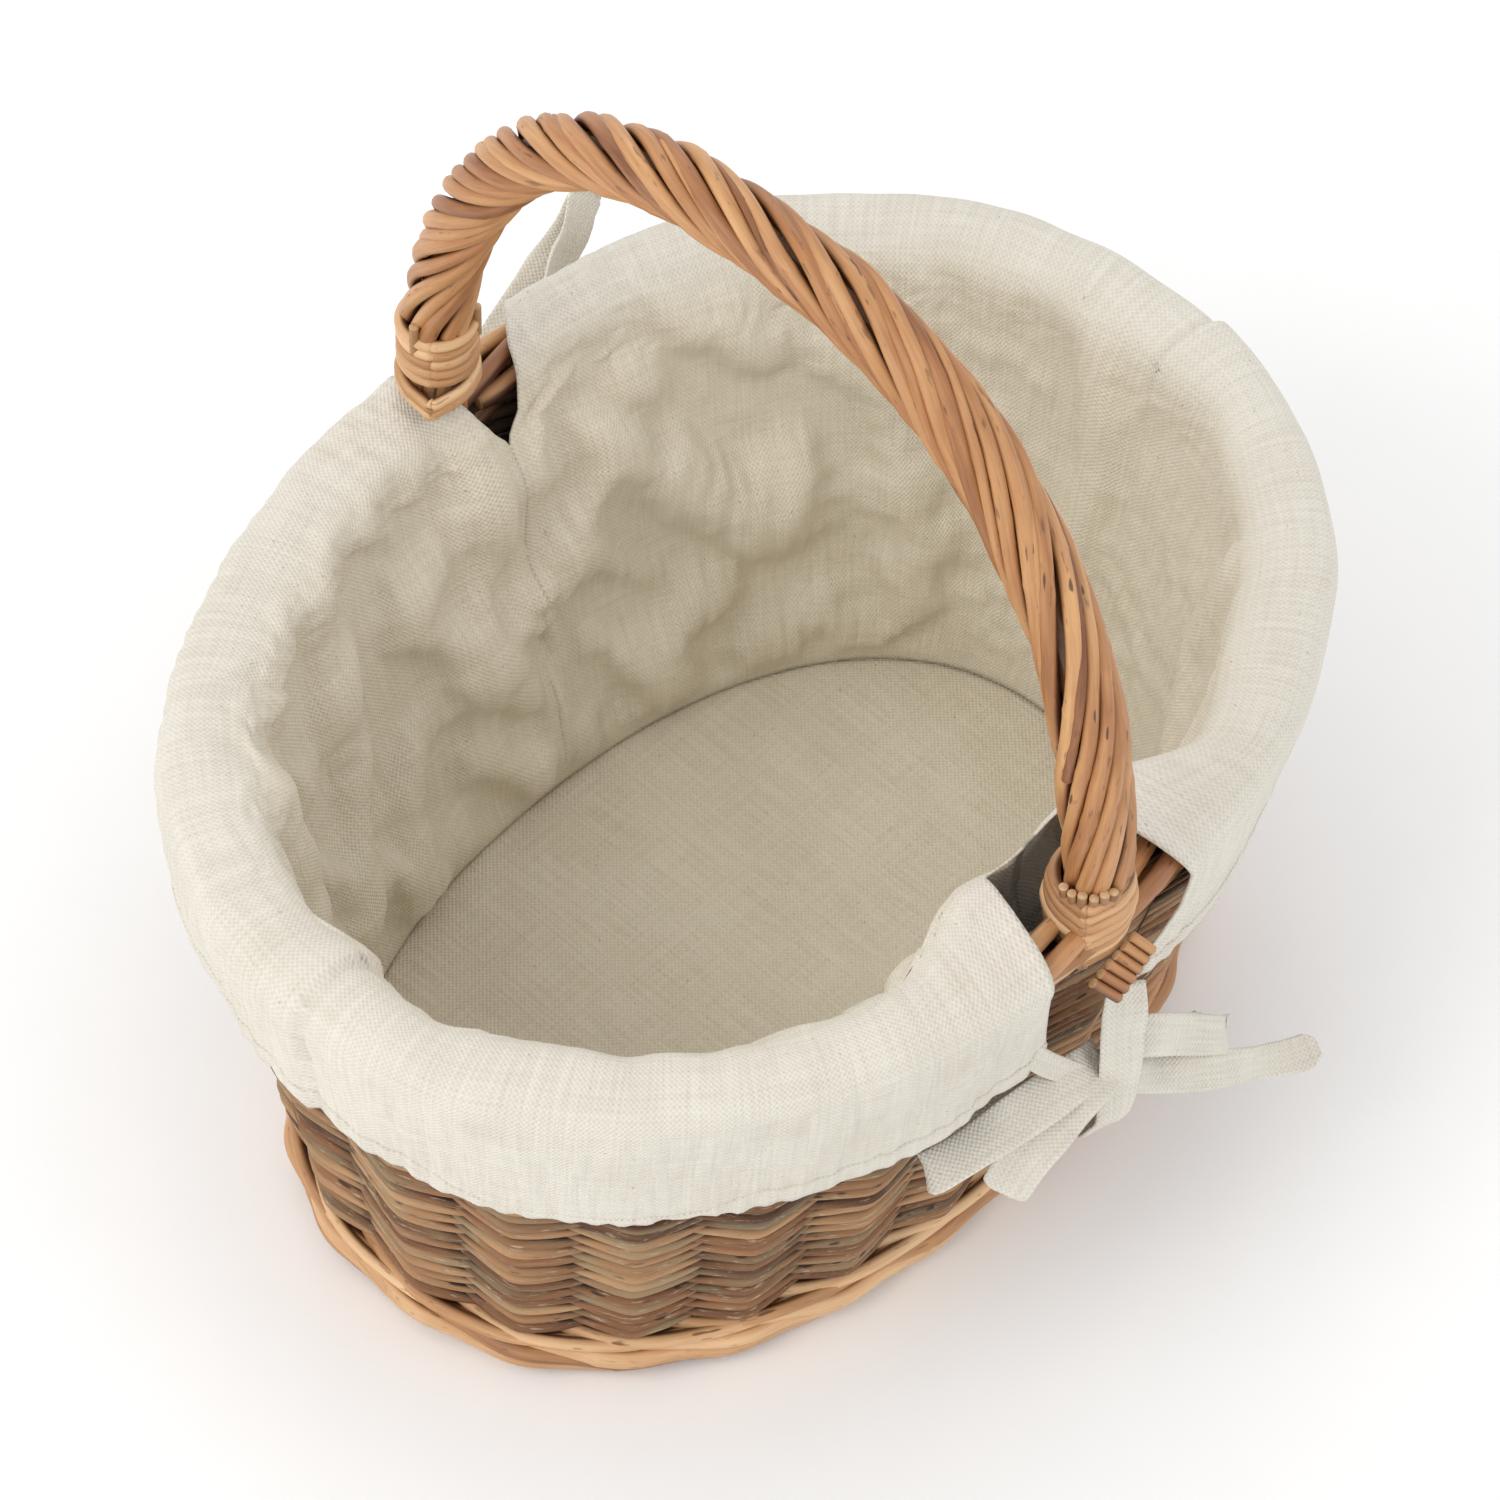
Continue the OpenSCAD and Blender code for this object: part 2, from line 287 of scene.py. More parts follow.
def willow(name):
    look = willowLooks[name]
    f = Finish(name)
    grain = f.attribute("grain", "Vector")

    # Noise that runs with the grain: its pitch along the rod and across it
    def grained(along, across, *detail):
        return f.noise(f.scaled(grain, (along, across, across)), *detail)

    streaks = grained(28, 480, 1, 3, 0.6)
    fine = grained(70, 1500, 1, 2, 0.5)
    mottle = grained(20, 110, 1, 3, 0.55)
    tone = f.attribute("tint") * 0.75 + (streaks - 0.5) * 0.4 + (mottle - 0.5) * 0.8
    tone = tone + (fine - 0.5) * 0.2 + 0.12
    colour = f.ramp(tone, [(0.12, look["dark"]), (0.48, look["mid"]), (0.86, look["light"])])
    grey = f.between(grained(14, 60, 1.7, 2), 0.46, 0.68) * look["greyShare"]
    colour = f.blend(grey, colour, look["grey"])
    # bark flecks, pale scales and the dark scars where side shoots grew
    flecks = f.between(grained(110, 480, 1, 2), 0.64, 0.74)
    scars = f.between(grained(34, 150, 2.3, 1), 0.71, 0.77)
    scales = f.between(grained(75, 620, 1.6, 3, 0.7), 0.56, 0.68) * look["bark"]
    colour = f.blend(flecks * 0.5, colour, look["speck"])
    colour = f.blend(scales, colour, willowSame["scale"])
    colour = f.blend(scars * 0.85, colour, look["speck"])
    # Painted shade: the crease attribute darkens each rod towards the crease colour on its shaded side and in
    # the gaps
    colour = f.blend(f.between(f.attribute("crease"), *look["paintedShadeRange"]) * 0.92, colour, look["crease"])
    straw = f.blend(grained(900, 900, 1, 1), willowSame["strawDark"], willowSame["strawPale"])
    colour = f.blend(f.attribute("cut"), colour, straw)
    height = streaks * 0.5 + mottle * 0.3 + fine * 0.2 - flecks * 0.25 - scars * 0.3 + scales * 0.3
    return f.shade({
        "Base Color": colour,
        "Roughness": look["rough"] + streaks * 0.22 - mottle * 0.08,
        "Coat Weight": look["coat"],
        "Coat Roughness": willowSame["coatRoughness"],
        "Normal": f.bump(height, look["relief"], willowSame["barkDepth"]),
    })


canvasLook = {
    "pale": (0.78, 0.745, 0.665), "shade": (0.615, 0.562, 0.468), "fleck": (0.30, 0.22, 0.13),
    "lined": (1.0, 0.968, 0.90),    # painted shade: the cloth inside, with the willow behind it, is painted duller and warmer, as shade and warm bounce light would make it
    "pitch": 1.0 * mm, "relief": 0.75, "threadDepth": 0.45 * mm, "sheen": 0.15, "shine": 0.25,
}


def canvas(name):
    look = canvasLook
    f = Finish(name)
    thread = f.attribute("thread", "Vector")
    turns = math.pi / look["pitch"]
    slub = (f.noise(f.scaled(thread, (160, 160, 0)), 1, 2) - 0.5) * 2.4

    def sineOf(axis):
        place = f.add("ShaderNodeSeparateXYZ", None, {0: thread}, out=axis)
        return f.add("ShaderNodeMath", {"operation": "SINE"}, {0: place * turns + slub})

    # over one thread and under the next
    weave = sineOf("X") * sineOf("Y") * 0.5 + 0.5
    yarnA = f.noise(f.scaled(thread, (800, 30, 1)), 1, 2)
    yarnB = f.noise(f.scaled(thread, (30, 800, 1)), 1, 2)
    cloudy = f.noise(f.attribute("place", "Vector"), 28, 3)
    # the weave's low places are painted darker, a painted shade between the threads; the yarn and cloudy
    # terms are the cloth's own uneven tone
    tone = weave * 0.26 + yarnA * 0.5 + yarnB * 0.38 + (cloudy - 0.5) * 0.3
    colour = f.ramp(tone, [(0.30, look["shade"]), (0.72, look["pale"])])
    seeds = f.between(f.noise(f.scaled(thread, (420, 420, 1)), 1, 1), 0.73, 0.79)
    colour = f.blend(seeds * 0.45, colour, look["fleck"])
    # Painted shade: the cloth inside the basket is multiplied darker and warmer
    colour = f.blend(f.attribute("lined"), colour, look["lined"], "MULTIPLY")
    return f.shade({
        "Base Color": colour,
        "Roughness": 0.9 - weave * 0.08,
        "Specular IOR Level": look["shine"],
        "Sheen Weight": look["sheen"],
        "Sheen Roughness": 0.5,
        "Normal": f.bump(weave + (yarnA + yarnB) * 0.5, look["relief"], look["threadDepth"]),
    })


honeyWillow = willow("honeyWillow")
buffWillow = willow("buffWillow")
brownWillow = willow("brownWillow")
ecruCanvas = canvas("ecruCanvas")
print("materials ready")


def newMesh(name, points, faces):
    mesh = bpy.data.meshes.new(name)
    mesh.from_pydata(np.asarray(points).tolist(), [], faces)
    return mesh


def newObject(name, data):
    made = bpy.data.objects.new(name, data)
    bpy.context.scene.collection.objects.link(made)
    return made


def finishPiece(name, mesh, material, replaced):
    piece = newObject(name, mesh)
    mesh.materials.append(material)
    mesh.polygons.foreach_set("use_smooth", [True] * len(mesh.polygons))
    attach(piece, "root")
    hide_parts(*replaced)
    return piece


def setAttribute(mesh, name, values):
    values = np.asarray(values, np.float32)
    vector = values.ndim == 2
    attribute = mesh.attributes.new(name, "FLOAT_VECTOR" if vector else "FLOAT", "POINT")
    attribute.data.foreach_set("vector" if vector else "value", values.ravel())


# Four-sided faces of a grid of points, whose last column may join its first
def gridFaces(rows, columns, first=0, closed=False):
    index = first + np.arange(rows * columns).reshape(rows, columns)
    beside = np.roll(index, -1, axis=1)
    faces = np.stack([index[:-1], beside[:-1], beside[1:], index[1:]], axis=-1)
    return (faces if closed else faces[:, :-1]).reshape(-1, 4).tolist()


# A pile of willow rods that become one mesh; each rod has its own tint, wobble and cut ends
class RodPile:
    def __init__(self, seed):
        self.rng = np.random.default_rng(seed)
        self.rows = []
        self.faces = []
        self.count = 0

    # Points of the mesh, each with what the willow's finish reads there
    def keep(self, points, grain, crease, cut, tint):
        ones = np.ones(len(points))
        self.rows.append(np.column_stack([points, grain, ones * crease, ones * cut, ones * tint]))
        self.count += len(points)

    # flat squashes the rod; shadeBehind adds painted shade where it goes in behind others
    def add(self, path, radius, up=(0, 0, 1), sides=8, flat=1.0, tint=None, wobble=0.25 * mm, knots=True,
            outward=None, shadeBehind=0.0):
        path = np.array(path, float)
        n = len(path)
        rng = self.rng
        run = runAlong(path)
        if wobble:
            for k in range(3):
                phase = rng.uniform(0, 6.28, 2)
                path[:, k] += wobble * 0.5 * (np.sin(run * 70 + phase[0]) + np.sin(run * 160 + phase[1]))
        ahead = unit(np.gradient(path, axis=0))
        side = unit(np.cross(ahead, np.broadcast_to(np.asarray(up, float), path.shape)))
        top = np.cross(side, ahead)
        thick = np.broadcast_to(radius, (n,)) * (1 + 0.03 * np.sin(run * 90 + rng.uniform(0, 6.28)))
        if knots:
            for place in np.arange(rng.uniform(0, 0.06), run[-1], rng.uniform(0.05, 0.09)):
                thick = thick * (1 + 0.09 * np.exp(-((run - place) / 0.002) ** 2))
        turn = 2 * math.pi * np.arange(sides) / sides
        sideways = thick[:, None] * np.cos(turn)
        raised = thick[:, None] * np.sin(turn)
        squashed = raised * np.broadcast_to(flat, (n,))[:, None]
        ring = path[:, None] + sideways[:, :, None] * side[:, None] + squashed[:, :, None] * top[:, None]
        if outward is None:
            outward = outwardAt(path, baseX, baseY)
        # Painted shade: crease marks each rod darker on the side turned away from outward (by default away
        # from the middle of the basket), as if that side lay in shade
        facing = ((ring - path[:, None]) * np.broadcast_to(outward, path.shape)[:, None]).sum(axis=2)
        crease = 0.5 - 0.5 * facing / thick[:, None] + 0.5 * np.broadcast_to(shadeBehind, (n,))[:, None]
        grain = np.stack(np.broadcast_arrays(run[:, None] + rng.uniform(0, 9), sideways, raised), axis=-1)
        tint = rng.uniform(0.1, 0.95) if tint is None else tint
        index = self.count + np.arange(n * sides).reshape(n, sides)
        self.faces += gridFaces(n, sides, self.count, closed=True)
        self.keep(ring.reshape(-1, 3), grain.reshape(-1, 3), crease.ravel(), 0, tint)
        # cut ends, a little rounded
        for end, way in ((0, -1), (n - 1, 1)):
            cap = self.count + np.arange(sides)
            middle = np.full(sides, self.count + sides)
            rounded = np.stack([index[end], np.roll(index[end], -1), np.roll(cap, -1), cap], axis=1)
            lid = np.stack([cap, np.roll(cap, -1), middle], axis=1)
            self.faces += rounded[:, ::way].tolist() + lid[:, ::way].tolist()
            capRing = path[end] + (ring[end] - path[end]) * 0.86 + ahead[end] * way * 0.25 * mm
            self.keep(np.vstack([capRing, path[end] + ahead[end] * way * 0.35 * mm]),
                      np.vstack([grain[end] * (1, 0.8, 0.8), grain[end][0] * (1, 0, 0)]), 0, 1, tint)

    def build(self, name, material, replaced):
        rows = np.concatenate(self.rows)
        mesh = newMesh(name, rows[:, :3], self.faces)
        setAttribute(mesh, "grain", rows[:, 3:6])
        for column, field in enumerate(("crease", "cut", "tint"), 6):
            setAttribute(mesh, field, rows[:, column])
        mesh.validate()
        return finishPiece(name, mesh, material, replaced)


base = {"rodRadius": 2.3 * mm, "pitch": 5.6 * mm, "rings": 18, "sway": 3.9 * mm, "inset": 9 * mm}


def makeBase():
    pile = RodPile(3)
    stickLow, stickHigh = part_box("base_sticks_long")
    middleZ = (stickLow.z + stickHigh.z) / 2
    turn = np.linspace(0, 2 * math.pi, 24 * 6 + 1)
    for ring in range(base["rings"]):
        inset = base["inset"] + (ring + 0.5) * base["pitch"]
        x, y = onOval(turn, baseX - inset, baseY - inset)
        sway = base["sway"] * np.sin(12 * turn + math.pi * (ring % 2) + 0.3)
        pile.add(np.stack([x, y, middleZ + sway], axis=1), base["rodRadius"], sides=7)
    pile.build("base_weave_rods", buffWillow, ["base_weave"])


foot = {
    "rodRadius": 3.75 * mm,
    # along each stroke, counted in uprights: offset and height in mm
    "stroke": ((-0.5, -1.0, 21.0), (0.0, 3.5, 20.0), (0.5, 8.2, 18.0), (1.0, 9.4, 15.3), (2.0, 8.6, 9.6),
               (2.6, 7.6, 6.4), (3.1, 4.5, 4.6), (3.5, 0.5, 4.0)),
    "clear": 0.8 * mm,
    "standRadius": 3.3 * mm, "standRods": ((-2.2 * mm, 4.1 * mm), (-1.5 * mm, 9.8 * mm)),
}
upsett = {"rodRadius": 2.9 * mm, "rounds": 1, "pitch": 5.6 * mm, "firstZ": 23.5 * mm, "outward": 8.4 * mm}
topWale = {"rodRadius": 2.9 * mm, "rounds": 1, "pitch": 6.0 * mm, "firstZ": 200.5 * mm, "outward": 7.0 * mm}


def makeFoot():
    pile = RodPile(11)
    rng = pile.rng
    along, strokeOffset, strokeHeight = np.transpose(foot["stroke"])
    t = np.linspace(along[0], along[-1], 60)
    strokeOffset = eased(np.interp(t, along, strokeOffset))
    strokeHeight = eased(np.interp(t, along, strokeHeight))
    for i in range(wall["stakeCount"]):
        offset = strokeOffset * rng.uniform(0.90, 1.12) + 1.1 * np.cos(2 * math.pi * t)
        z = strokeHeight + 0.9 * np.sin(2 * math.pi * t + 0.6) + rng.uniform(-0.8, 0.8)
        radius = foot["rodRadius"] * rng.uniform(0.9, 1.1) * np.linspace(1.05, 0.82, len(t))
        z = np.maximum(z * mm, radius + foot["clear"])
        degrees = wall["firstStake"] + spacing * (i + t)
        pile.add(onWall(degrees, offset * mm, z), radius, sides=12, tint=rng.uniform(0.15, 1.0))
    # the inner rods of the ring that the basket stands on
    for offset, z in foot["standRods"]:
        pile.add(onWall(np.linspace(0, 359, 200), offset, z), foot["standRadius"], tint=0.5)
    pile.build("foot_border_rods", buffWillow, ["foot_border"])


# Waling: each rod passes outside two uprights and inside one
def makeWale(wale, seed, name, node):
    pile = RodPile(seed)
    t = np.linspace(-0.75, 3.05, 44)
    swell = eased(np.interp(t, [-0.75, -0.35, 0.45, 1.6, 2.45, 3.05], [-0.9, -0.2, 0.95, 0.95, 0.1, -0.9]))
    for r in range(wale["rounds"]):
        for i in range(wall["stakeCount"]):
            degrees = wall["firstStake"] + spacing * (i + r * 0.5 + t - 0.5)
            z = wale["firstZ"] + wale["pitch"] * (r + 0.42 - 0.75 * np.clip((t + 0.3) / 2.8, 0, 1))
            radius = wale["rodRadius"] * pile.rng.uniform(0.9, 1.05)
            pile.add(onWall(degrees, wale["outward"] * swell, z), radius, tint=pile.rng.uniform(0.25, 0.95))
    pile.build(name, buffWillow, [node])


# The side is French randing: every rod passes in front of one upright and behind the next
side = {
    "rodRadius": 2.55 * mm, "pitch": 7.05 * mm, "firstZ": 31.5 * mm, "bulge": 6.4 * mm,
    "crossing": 1.75 * mm, "dip": 0.6 * mm, "corner": 0.05,
}


def makeSide():
    pile = RodPile(23)
    rng = pile.rng
    rounds = int((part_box("side_weave_outer")[1].z - side["firstZ"]) / side["pitch"]) + 1
    corner = side["corner"]
    u = np.concatenate([np.linspace(-1, -0.2, 8), np.linspace(-0.13, 0.13, 7), np.linspace(0.2, 1, 8)])
    span = math.hypot(0.5, corner) - corner
    bend = np.maximum(1 - (np.sqrt(u ** 2 + corner ** 2) - corner) / span, -1)
    flat = 1 - 0.22 * (1 - np.abs(bend)) ** 2
    # painted shade on each rod where it bends in behind the uprights
    shadeBehind = np.clip(0.7 - bend, 0, 1.2)
    for r in range(rounds):
        for i in range(wall["stakeCount"]):
            degrees = wall["firstStake"] + spacing * (i + u)
            offset = side["bulge"] * bend * rng.uniform(0.93, 1.06) + rng.uniform(-0.3, 0.3) * mm
            z = side["firstZ"] + side["pitch"] * r - side["crossing"] * np.sin(math.pi * u)
            z = z - side["dip"] * bend + rng.uniform(-0.45, 0.45) * mm
            radius = side["rodRadius"] * rng.uniform(0.9, 1.1)
            pile.add(onWall(degrees, offset, z), radius, sides=10, flat=flat, shadeBehind=shadeBehind)
    pile.build("side_weave_rods", brownWillow, ["side_weave_outer", "side_weave_inner"])


border = {
    "rodRadius": 4.1 * mm, "turn": 8.2 * mm, "flatter": 2.2 * mm, "lower": 1 * mm,
    "strokeStakes": 3.4, "fromDegrees": -70, "sweep": 290,
}


def makeBorder():
    pile = RodPile(31)
    t = np.linspace(0, 1, 36)
    turn = np.radians(border["fromDegrees"] + border["sweep"] * t)
    reach = border["turn"] * (1 - 0.12 * t)
    offset = reach * np.cos(turn)
    z = rimZ - border["lower"] + (reach - border["flatter"]) * np.sin(turn)
    for i in range(wall["stakeCount"]):
        path = onWall(wall["firstStake"] + spacing * (i + border["strokeStakes"] * t), offset, z)
        # Painted shade: each border rod is darker on the side turned away from up and out, so its underside
        # looks shaded
        paintedLightFrom = unit(outwardAt(path, baseX, baseY) + (0, 0, 1.2))
        pile.add(path, border["rodRadius"] * (1 - 0.15 * t), sides=10, tint=pile.rng.uniform(0.3, 0.95),
                 outward=paintedLightFrom)
    pile.build("rim_border_rods", honeyWillow, ["rim_border"])


handle = {
    "rods": 10, "ring": 10.3 * mm, "rodRadius": 3.05 * mm, "startAngle": 2.0, "tail": 26 * mm,
    "squeezeFront": 0.9 * mm, "squeezeBack": 2.3 * mm,       # how much thinner it is inside the collars
    # share of the way from front foot to back foot, and turns made by then
    "twist": ((0, 0), (0.15, -0.35), (0.3, -0.75), (0.5, -1.5), (0.68, -2.35), (0.80, -3.05), (0.88, -3.40),
              (0.94, -3.52), (1, -3.58)),
    "taper": 0.18, "thinRods": 5, "thinRadius": 2.1 * mm, "thinProud": 1.1 * mm,
}


def handleLine(steps):
    arch = onArch(np.linspace(handle["startAngle"], 180 - handle["startAngle"], 400))
    drop = np.array([0, 1 * mm, -handle["tail"]])
    return spacedEvenly(np.concatenate([[arch[0] + drop], arch, [arch[-1] + drop * (1, -1, 1)]]), steps)


def makeHandle():
    line = handleLine(260)
    ahead = unit(np.gradient(line, axis=0))
    across = np.tile(np.array([1.0, 0, 0]), (len(line), 1))
    outward = np.cross(across, ahead)
    t = np.linspace(0, 1, len(line))
    twist = 2 * math.pi * lookUp(smoothPath(handle["twist"], 300), t)
    squeeze = handle["squeezeFront"] * (1 - smoothStep(t, 0.05, 0.085))
    squeeze = squeeze + handle["squeezeBack"] * smoothStep(t, 0.90, 0.955)
    share = 2 * math.pi / handle["rods"]
    pile = RodPile(41)
    rng = pile.rng
    lean = (1, 0.05, 0.02)

    def ringPath(turn, ring):
        radial = np.cos(turn)[:, None] * across + np.sin(turn)[:, None] * outward
        return line + ring[:, None] * radial, radial

    for k in range(handle["rods"]):
        drift = 0.13 * np.sin(2 * math.pi * (t * rng.uniform(0.7, 2.6) + rng.uniform(0, 1)))
        lift = 0.55 * mm * np.sin(2 * math.pi * (t * rng.uniform(1, 3.5) + rng.uniform(0, 1)))
        path, radial = ringPath(twist + share * k + drift, handle["ring"] + lift - squeeze)
        taper = 1.06 - handle["taper"] * (t if k % 2 else 1 - t)
        # outward=radial paints shade on the side of each rod turned in towards the handle's core
        pile.add(path, handle["rodRadius"] * rng.uniform(0.97, 1.08) * taper, up=lean, sides=12,
                 wobble=0.3 * mm, tint=rng.uniform(0.28, 0.78), outward=radial)
    # thinner rods laid into the grooves, whose tips end part of the way along
    for k in range(handle["thinRods"]):
        first = rng.uniform(0.02, 0.3)
        last = rng.uniform(0.5, 0.93)
        keep = (t > first) & (t < last)
        ring = handle["ring"] + handle["thinProud"] - squeeze
        path, radial = ringPath(twist + share * (k * 2 + 0.5), ring)
        # the thin rods too get painted shade on their side turned in towards the core
        pile.add(path[keep], handle["thinRadius"] * (1 - 0.5 * (t[keep] - first) / (last - first)), up=lean,
                 sides=10, wobble=0.3 * mm, outward=radial[keep])
    pile.build("handle_wrap_rods", honeyWillow, ["handle_rods"])


# Each collar is a stack of rows whose two arms meet in a vee
collar = {
    "rodRadius": 2.3 * mm, "veeSide": -143, "pointed": 32, "round": 12,
    "frontCentre": (-0.8, 0.8), "frontRing": 14.6 * mm, "frontTop": 233 * mm, "frontRows": 8,
    "frontPitch": 4.35 * mm,
    "backRing": 12.9 * mm, "backTop": 264 * mm, "backRows": 5, "backPitch": 4.9 * mm,
    "cutRadius": 1.75 * mm, "cutSpread": (-40, -25, -9, 8, 23, 37),
    "fanRadius": 2.1 * mm, "fanRods": 6, "fanFrom": (-15, -174.5, 197), "fanStep": (3.9, 0, 1.6),
}


# One row of a collar: two arms that come round from the far side and meet in the vee
def collarRow(pile, centre, z, ring, dip, stagger, tangent):
    away = np.concatenate([np.linspace(200, 40, 30), np.linspace(36, -4, 22)])
    point = np.where(np.abs(away) < tangent, 1 / np.cos(np.radians(tangent - np.abs(away))), 1.0)
    reach = ring * point - 0.8 * mm * (away < 2)
    for way in (-1, 1):
        turn = np.radians(collar["veeSide"] + way * away)
        height = z + way * stagger - dip * np.clip(1 - np.abs(away) / 75, 0, 1)
        radial = np.stack([np.cos(turn), np.sin(turn), 0 * turn], axis=1)
        path = reach[:, None] * radial + (*centre, 0)
        path[:, 2] = height
        # outward=radial paints shade on each collar rod's side turned in towards the handle
        pile.add(path, collar["rodRadius"] * pile.rng.uniform(0.94, 1.06), sides=10,
                 tint=pile.rng.uniform(0.3, 0.95), wobble=0.2 * mm, outward=radial)


def shortRod(pile, root, tip, radius, tint):
    path = smoothPath([root, (np.asarray(root) + tip) / 2, tip], 6)
    # outward=(0, 0, 1): painted shade on the downward side of each short rod
    pile.add(path, radius, up=(1, 0, 0), sides=12, wobble=0, knots=False, tint=tint, outward=(0, 0, 1))


def makeCollars():
    front = RodPile(43)
    centre = (collar["frontCentre"][0] * mm, onArch(6)[1] + collar["frontCentre"][1] * mm)
    for k in range(collar["frontRows"]):
        ring = collar["frontRing"] - 0.55 * mm * abs(k - 3)
        z = collar["frontTop"] - k * collar["frontPitch"]
        collarRow(front, centre, z, ring, 4 * mm, 1.0 * mm, collar["pointed"])
    front.build("collar_front_rods", buffWillow, ["collar_front"])

    back = RodPile(47)
    yBack = onArch(171)[1]
    for k in range(collar["backRows"]):
        z = collar["backTop"] - k * collar["backPitch"]
        collarRow(back, (0, yBack), z, collar["backRing"], 0.4 * mm, 0, collar["round"])
    for k in range(2):
        z = collar["backTop"] - (collar["backRows"] + 0.1 + 0.85 * k) * collar["backPitch"]
        collarRow(back, (0, yBack), z, collar["backRing"] + 0.6 * mm, 6 * mm, 0.8 * mm, collar["pointed"])
    back.build("collar_back_rods", buffWillow, ["collar_back"])

    ends = RodPile(53)
    ring = collar["frontRing"] - 1.9 * mm
    for spread in collar["cutSpread"]:
        turn = math.radians(collar["veeSide"] + spread)
        z = collar["frontTop"] - 4 * mm * (1 - abs(spread) / 75)
        root = np.array([centre[0] + ring * math.cos(turn), centre[1] + ring * math.sin(turn), z - 4 * mm])
        lean = np.array([1.2 * math.cos(turn), 1.2 * math.sin(turn), ends.rng.uniform(9.5, 11.5)]) * mm
        shortRod(ends, root, root + lean, collar["cutRadius"], ends.rng.uniform(0.4, 0.8))
    for x, y in ((-13.5, yBack / mm - 2), (9, yBack / mm - 11)):
        shortRod(ends, np.array([x, y, 258]) * mm, np.array([x, y, 272]) * mm, 1.8 * mm, 0.6)
    ends.build("collar_cut_ends", buffWillow, ["collar_rod_ends"])

    fan = RodPile(59)
    for k in range(collar["fanRods"]):
        root = np.array(collar["fanFrom"]) + k * np.array(collar["fanStep"])
        tip = root + (7.5 - 0.6 * k, -6, -10.5 + 0.7 * k)
        shortRod(fan, root * mm, tip * mm, collar["fanRadius"], 0.35 + 0.08 * k)
    fan.build("border_cut_ends", honeyWillow, ["border_rod_ends"])


liner = {
    "columns": 300, "thickness": 0.9 * mm, "around": 1.18, "hemWidth": 10.6 * mm, "hemLength": 0.56,
    "pillow": 4.5 * mm, "creases": 4.0 * mm, "skirtWave": 3.4 * mm, "rimWave": 1.6 * mm, "wander": 5.5 * mm,
    "notchFree": 18 * mm, "notchLift": 5 * mm, "seamRidge": 2.8 * mm, "ripple": 0.3 * mm,
    # up the inside, over the rim and down to the hem: outward offset, height above the floor seam, in mm
    "line": (
        (-12.0, 0), (-12.4, 12), (-12.8, 60), (-13.2, 120), (-14.0, 170), (-14.6, 189), (-14.4, 197),
        (-11.5, 202), (-5, 205), (2, 205.5), (9, 204), (13, 199.5), (14.6, 192), (15.2, 175), (15.8, 150),
        (16.2, 133),
    ),
    # the hem isn't level: degrees, and how much higher it ends, in mm
    "hem": (
        (-182.5, 16), (-180, 10), (-175.5, 4), (-170, 3), (-162, -4), (-138, -5), (-132, 4), (-112, 4),
        (-100, 2), (-84, 8), (-60, 2), (-20, 0), (20, 3), (80, 6), (100, 14), (150, 19), (172, 19),
        (177.5, 16),
    ),
    # the four cut edges: mm of cloth past the crest of the fold, and degrees
    "cuts": {
        "frontLeft": ((-18, -90.0), (-14.5, -97.4), (0, -98.0), (12, -98.8), (25, -99.5), (60, -97.6),
                      (75, -96.6)),
        "frontRight": ((-18, -90.0), (-14.5, -84.2), (0, -83.4), (12, -82.6), (25, -81.4), (45, -81.8),
                       (60, -84.0), (75, -86.4)),
        "backLeft": ((-38, 85.7), (-30, 87.4), (-8, 90.4), (0, 91.2), (20, 91.6), (75, 92.5)),
        "backRight": ((-38, 85.7), (-30, 83.0), (-8, 80.8), (15, 77.2), (75, 76.0)),
    },
    # degrees, and how much spare cloth there is round the basket
    "spare": (
        (-180, 0.8), (-150, 0.6), (-120, 0.7), (-104, 0.9), (-75, 0.5), (-30, 0.25), (5, 0.3), (30, 0.7),
        (50, 1.1), (92, 1.2), (120, 1.1), (150, 0.9), (180, 0.8),
    ),
    # folds of the inside wall: half width and depth in mm, then degrees and height in mm of their points
    "folds": (
        (7, 6, (90, 186), (90, 146), (92, 122)),
        (6, 7, (70, 138), (75, 126), (82, 108), (91, 92), (98, 84)),
        (6, -7, (73, 124), (70, 106), (66, 88), (58, 70), (48, 60), (36, 58)),
        (24, 9, (62, 104), (46, 90)),
        (5, -7, (84, 74), (82, 60), (79, 42), (77, 18)),
        (6, 6, (84, 88), (98, 90), (109, 78), (117, 70)),
        (9, 8, (120, 190), (120, 150), (122, 106), (131, 40)),
        (5, -6, (112, 180), (111, 140), (114, 100)),
        (7, 6, (60, 190), (50, 168), (36, 150)),
        (5, -5, (44, 150), (36, 132), (34, 112)),
        (9, 5, (30, 110), (24, 70), (26, 34)),
        (10, 5, (2, 190), (0, 130), (4, 60)),
        (8, 8, (150, 190), (148, 130), (152, 60)),
        (6, -6, (141, 180), (139, 120), (143, 60)),
        (9, 8, (178, 180), (176, 110), (182, 40)),
        (8, 6, (206, 170), (212, 100), (206, 40)), (9, 5, (240, 50), (252, 130), (250, 180)),
        (10, 5, (285, 60), (298, 150)), (9, 5, (318, 40), (330, 120), (326, 180)),
    ),
}
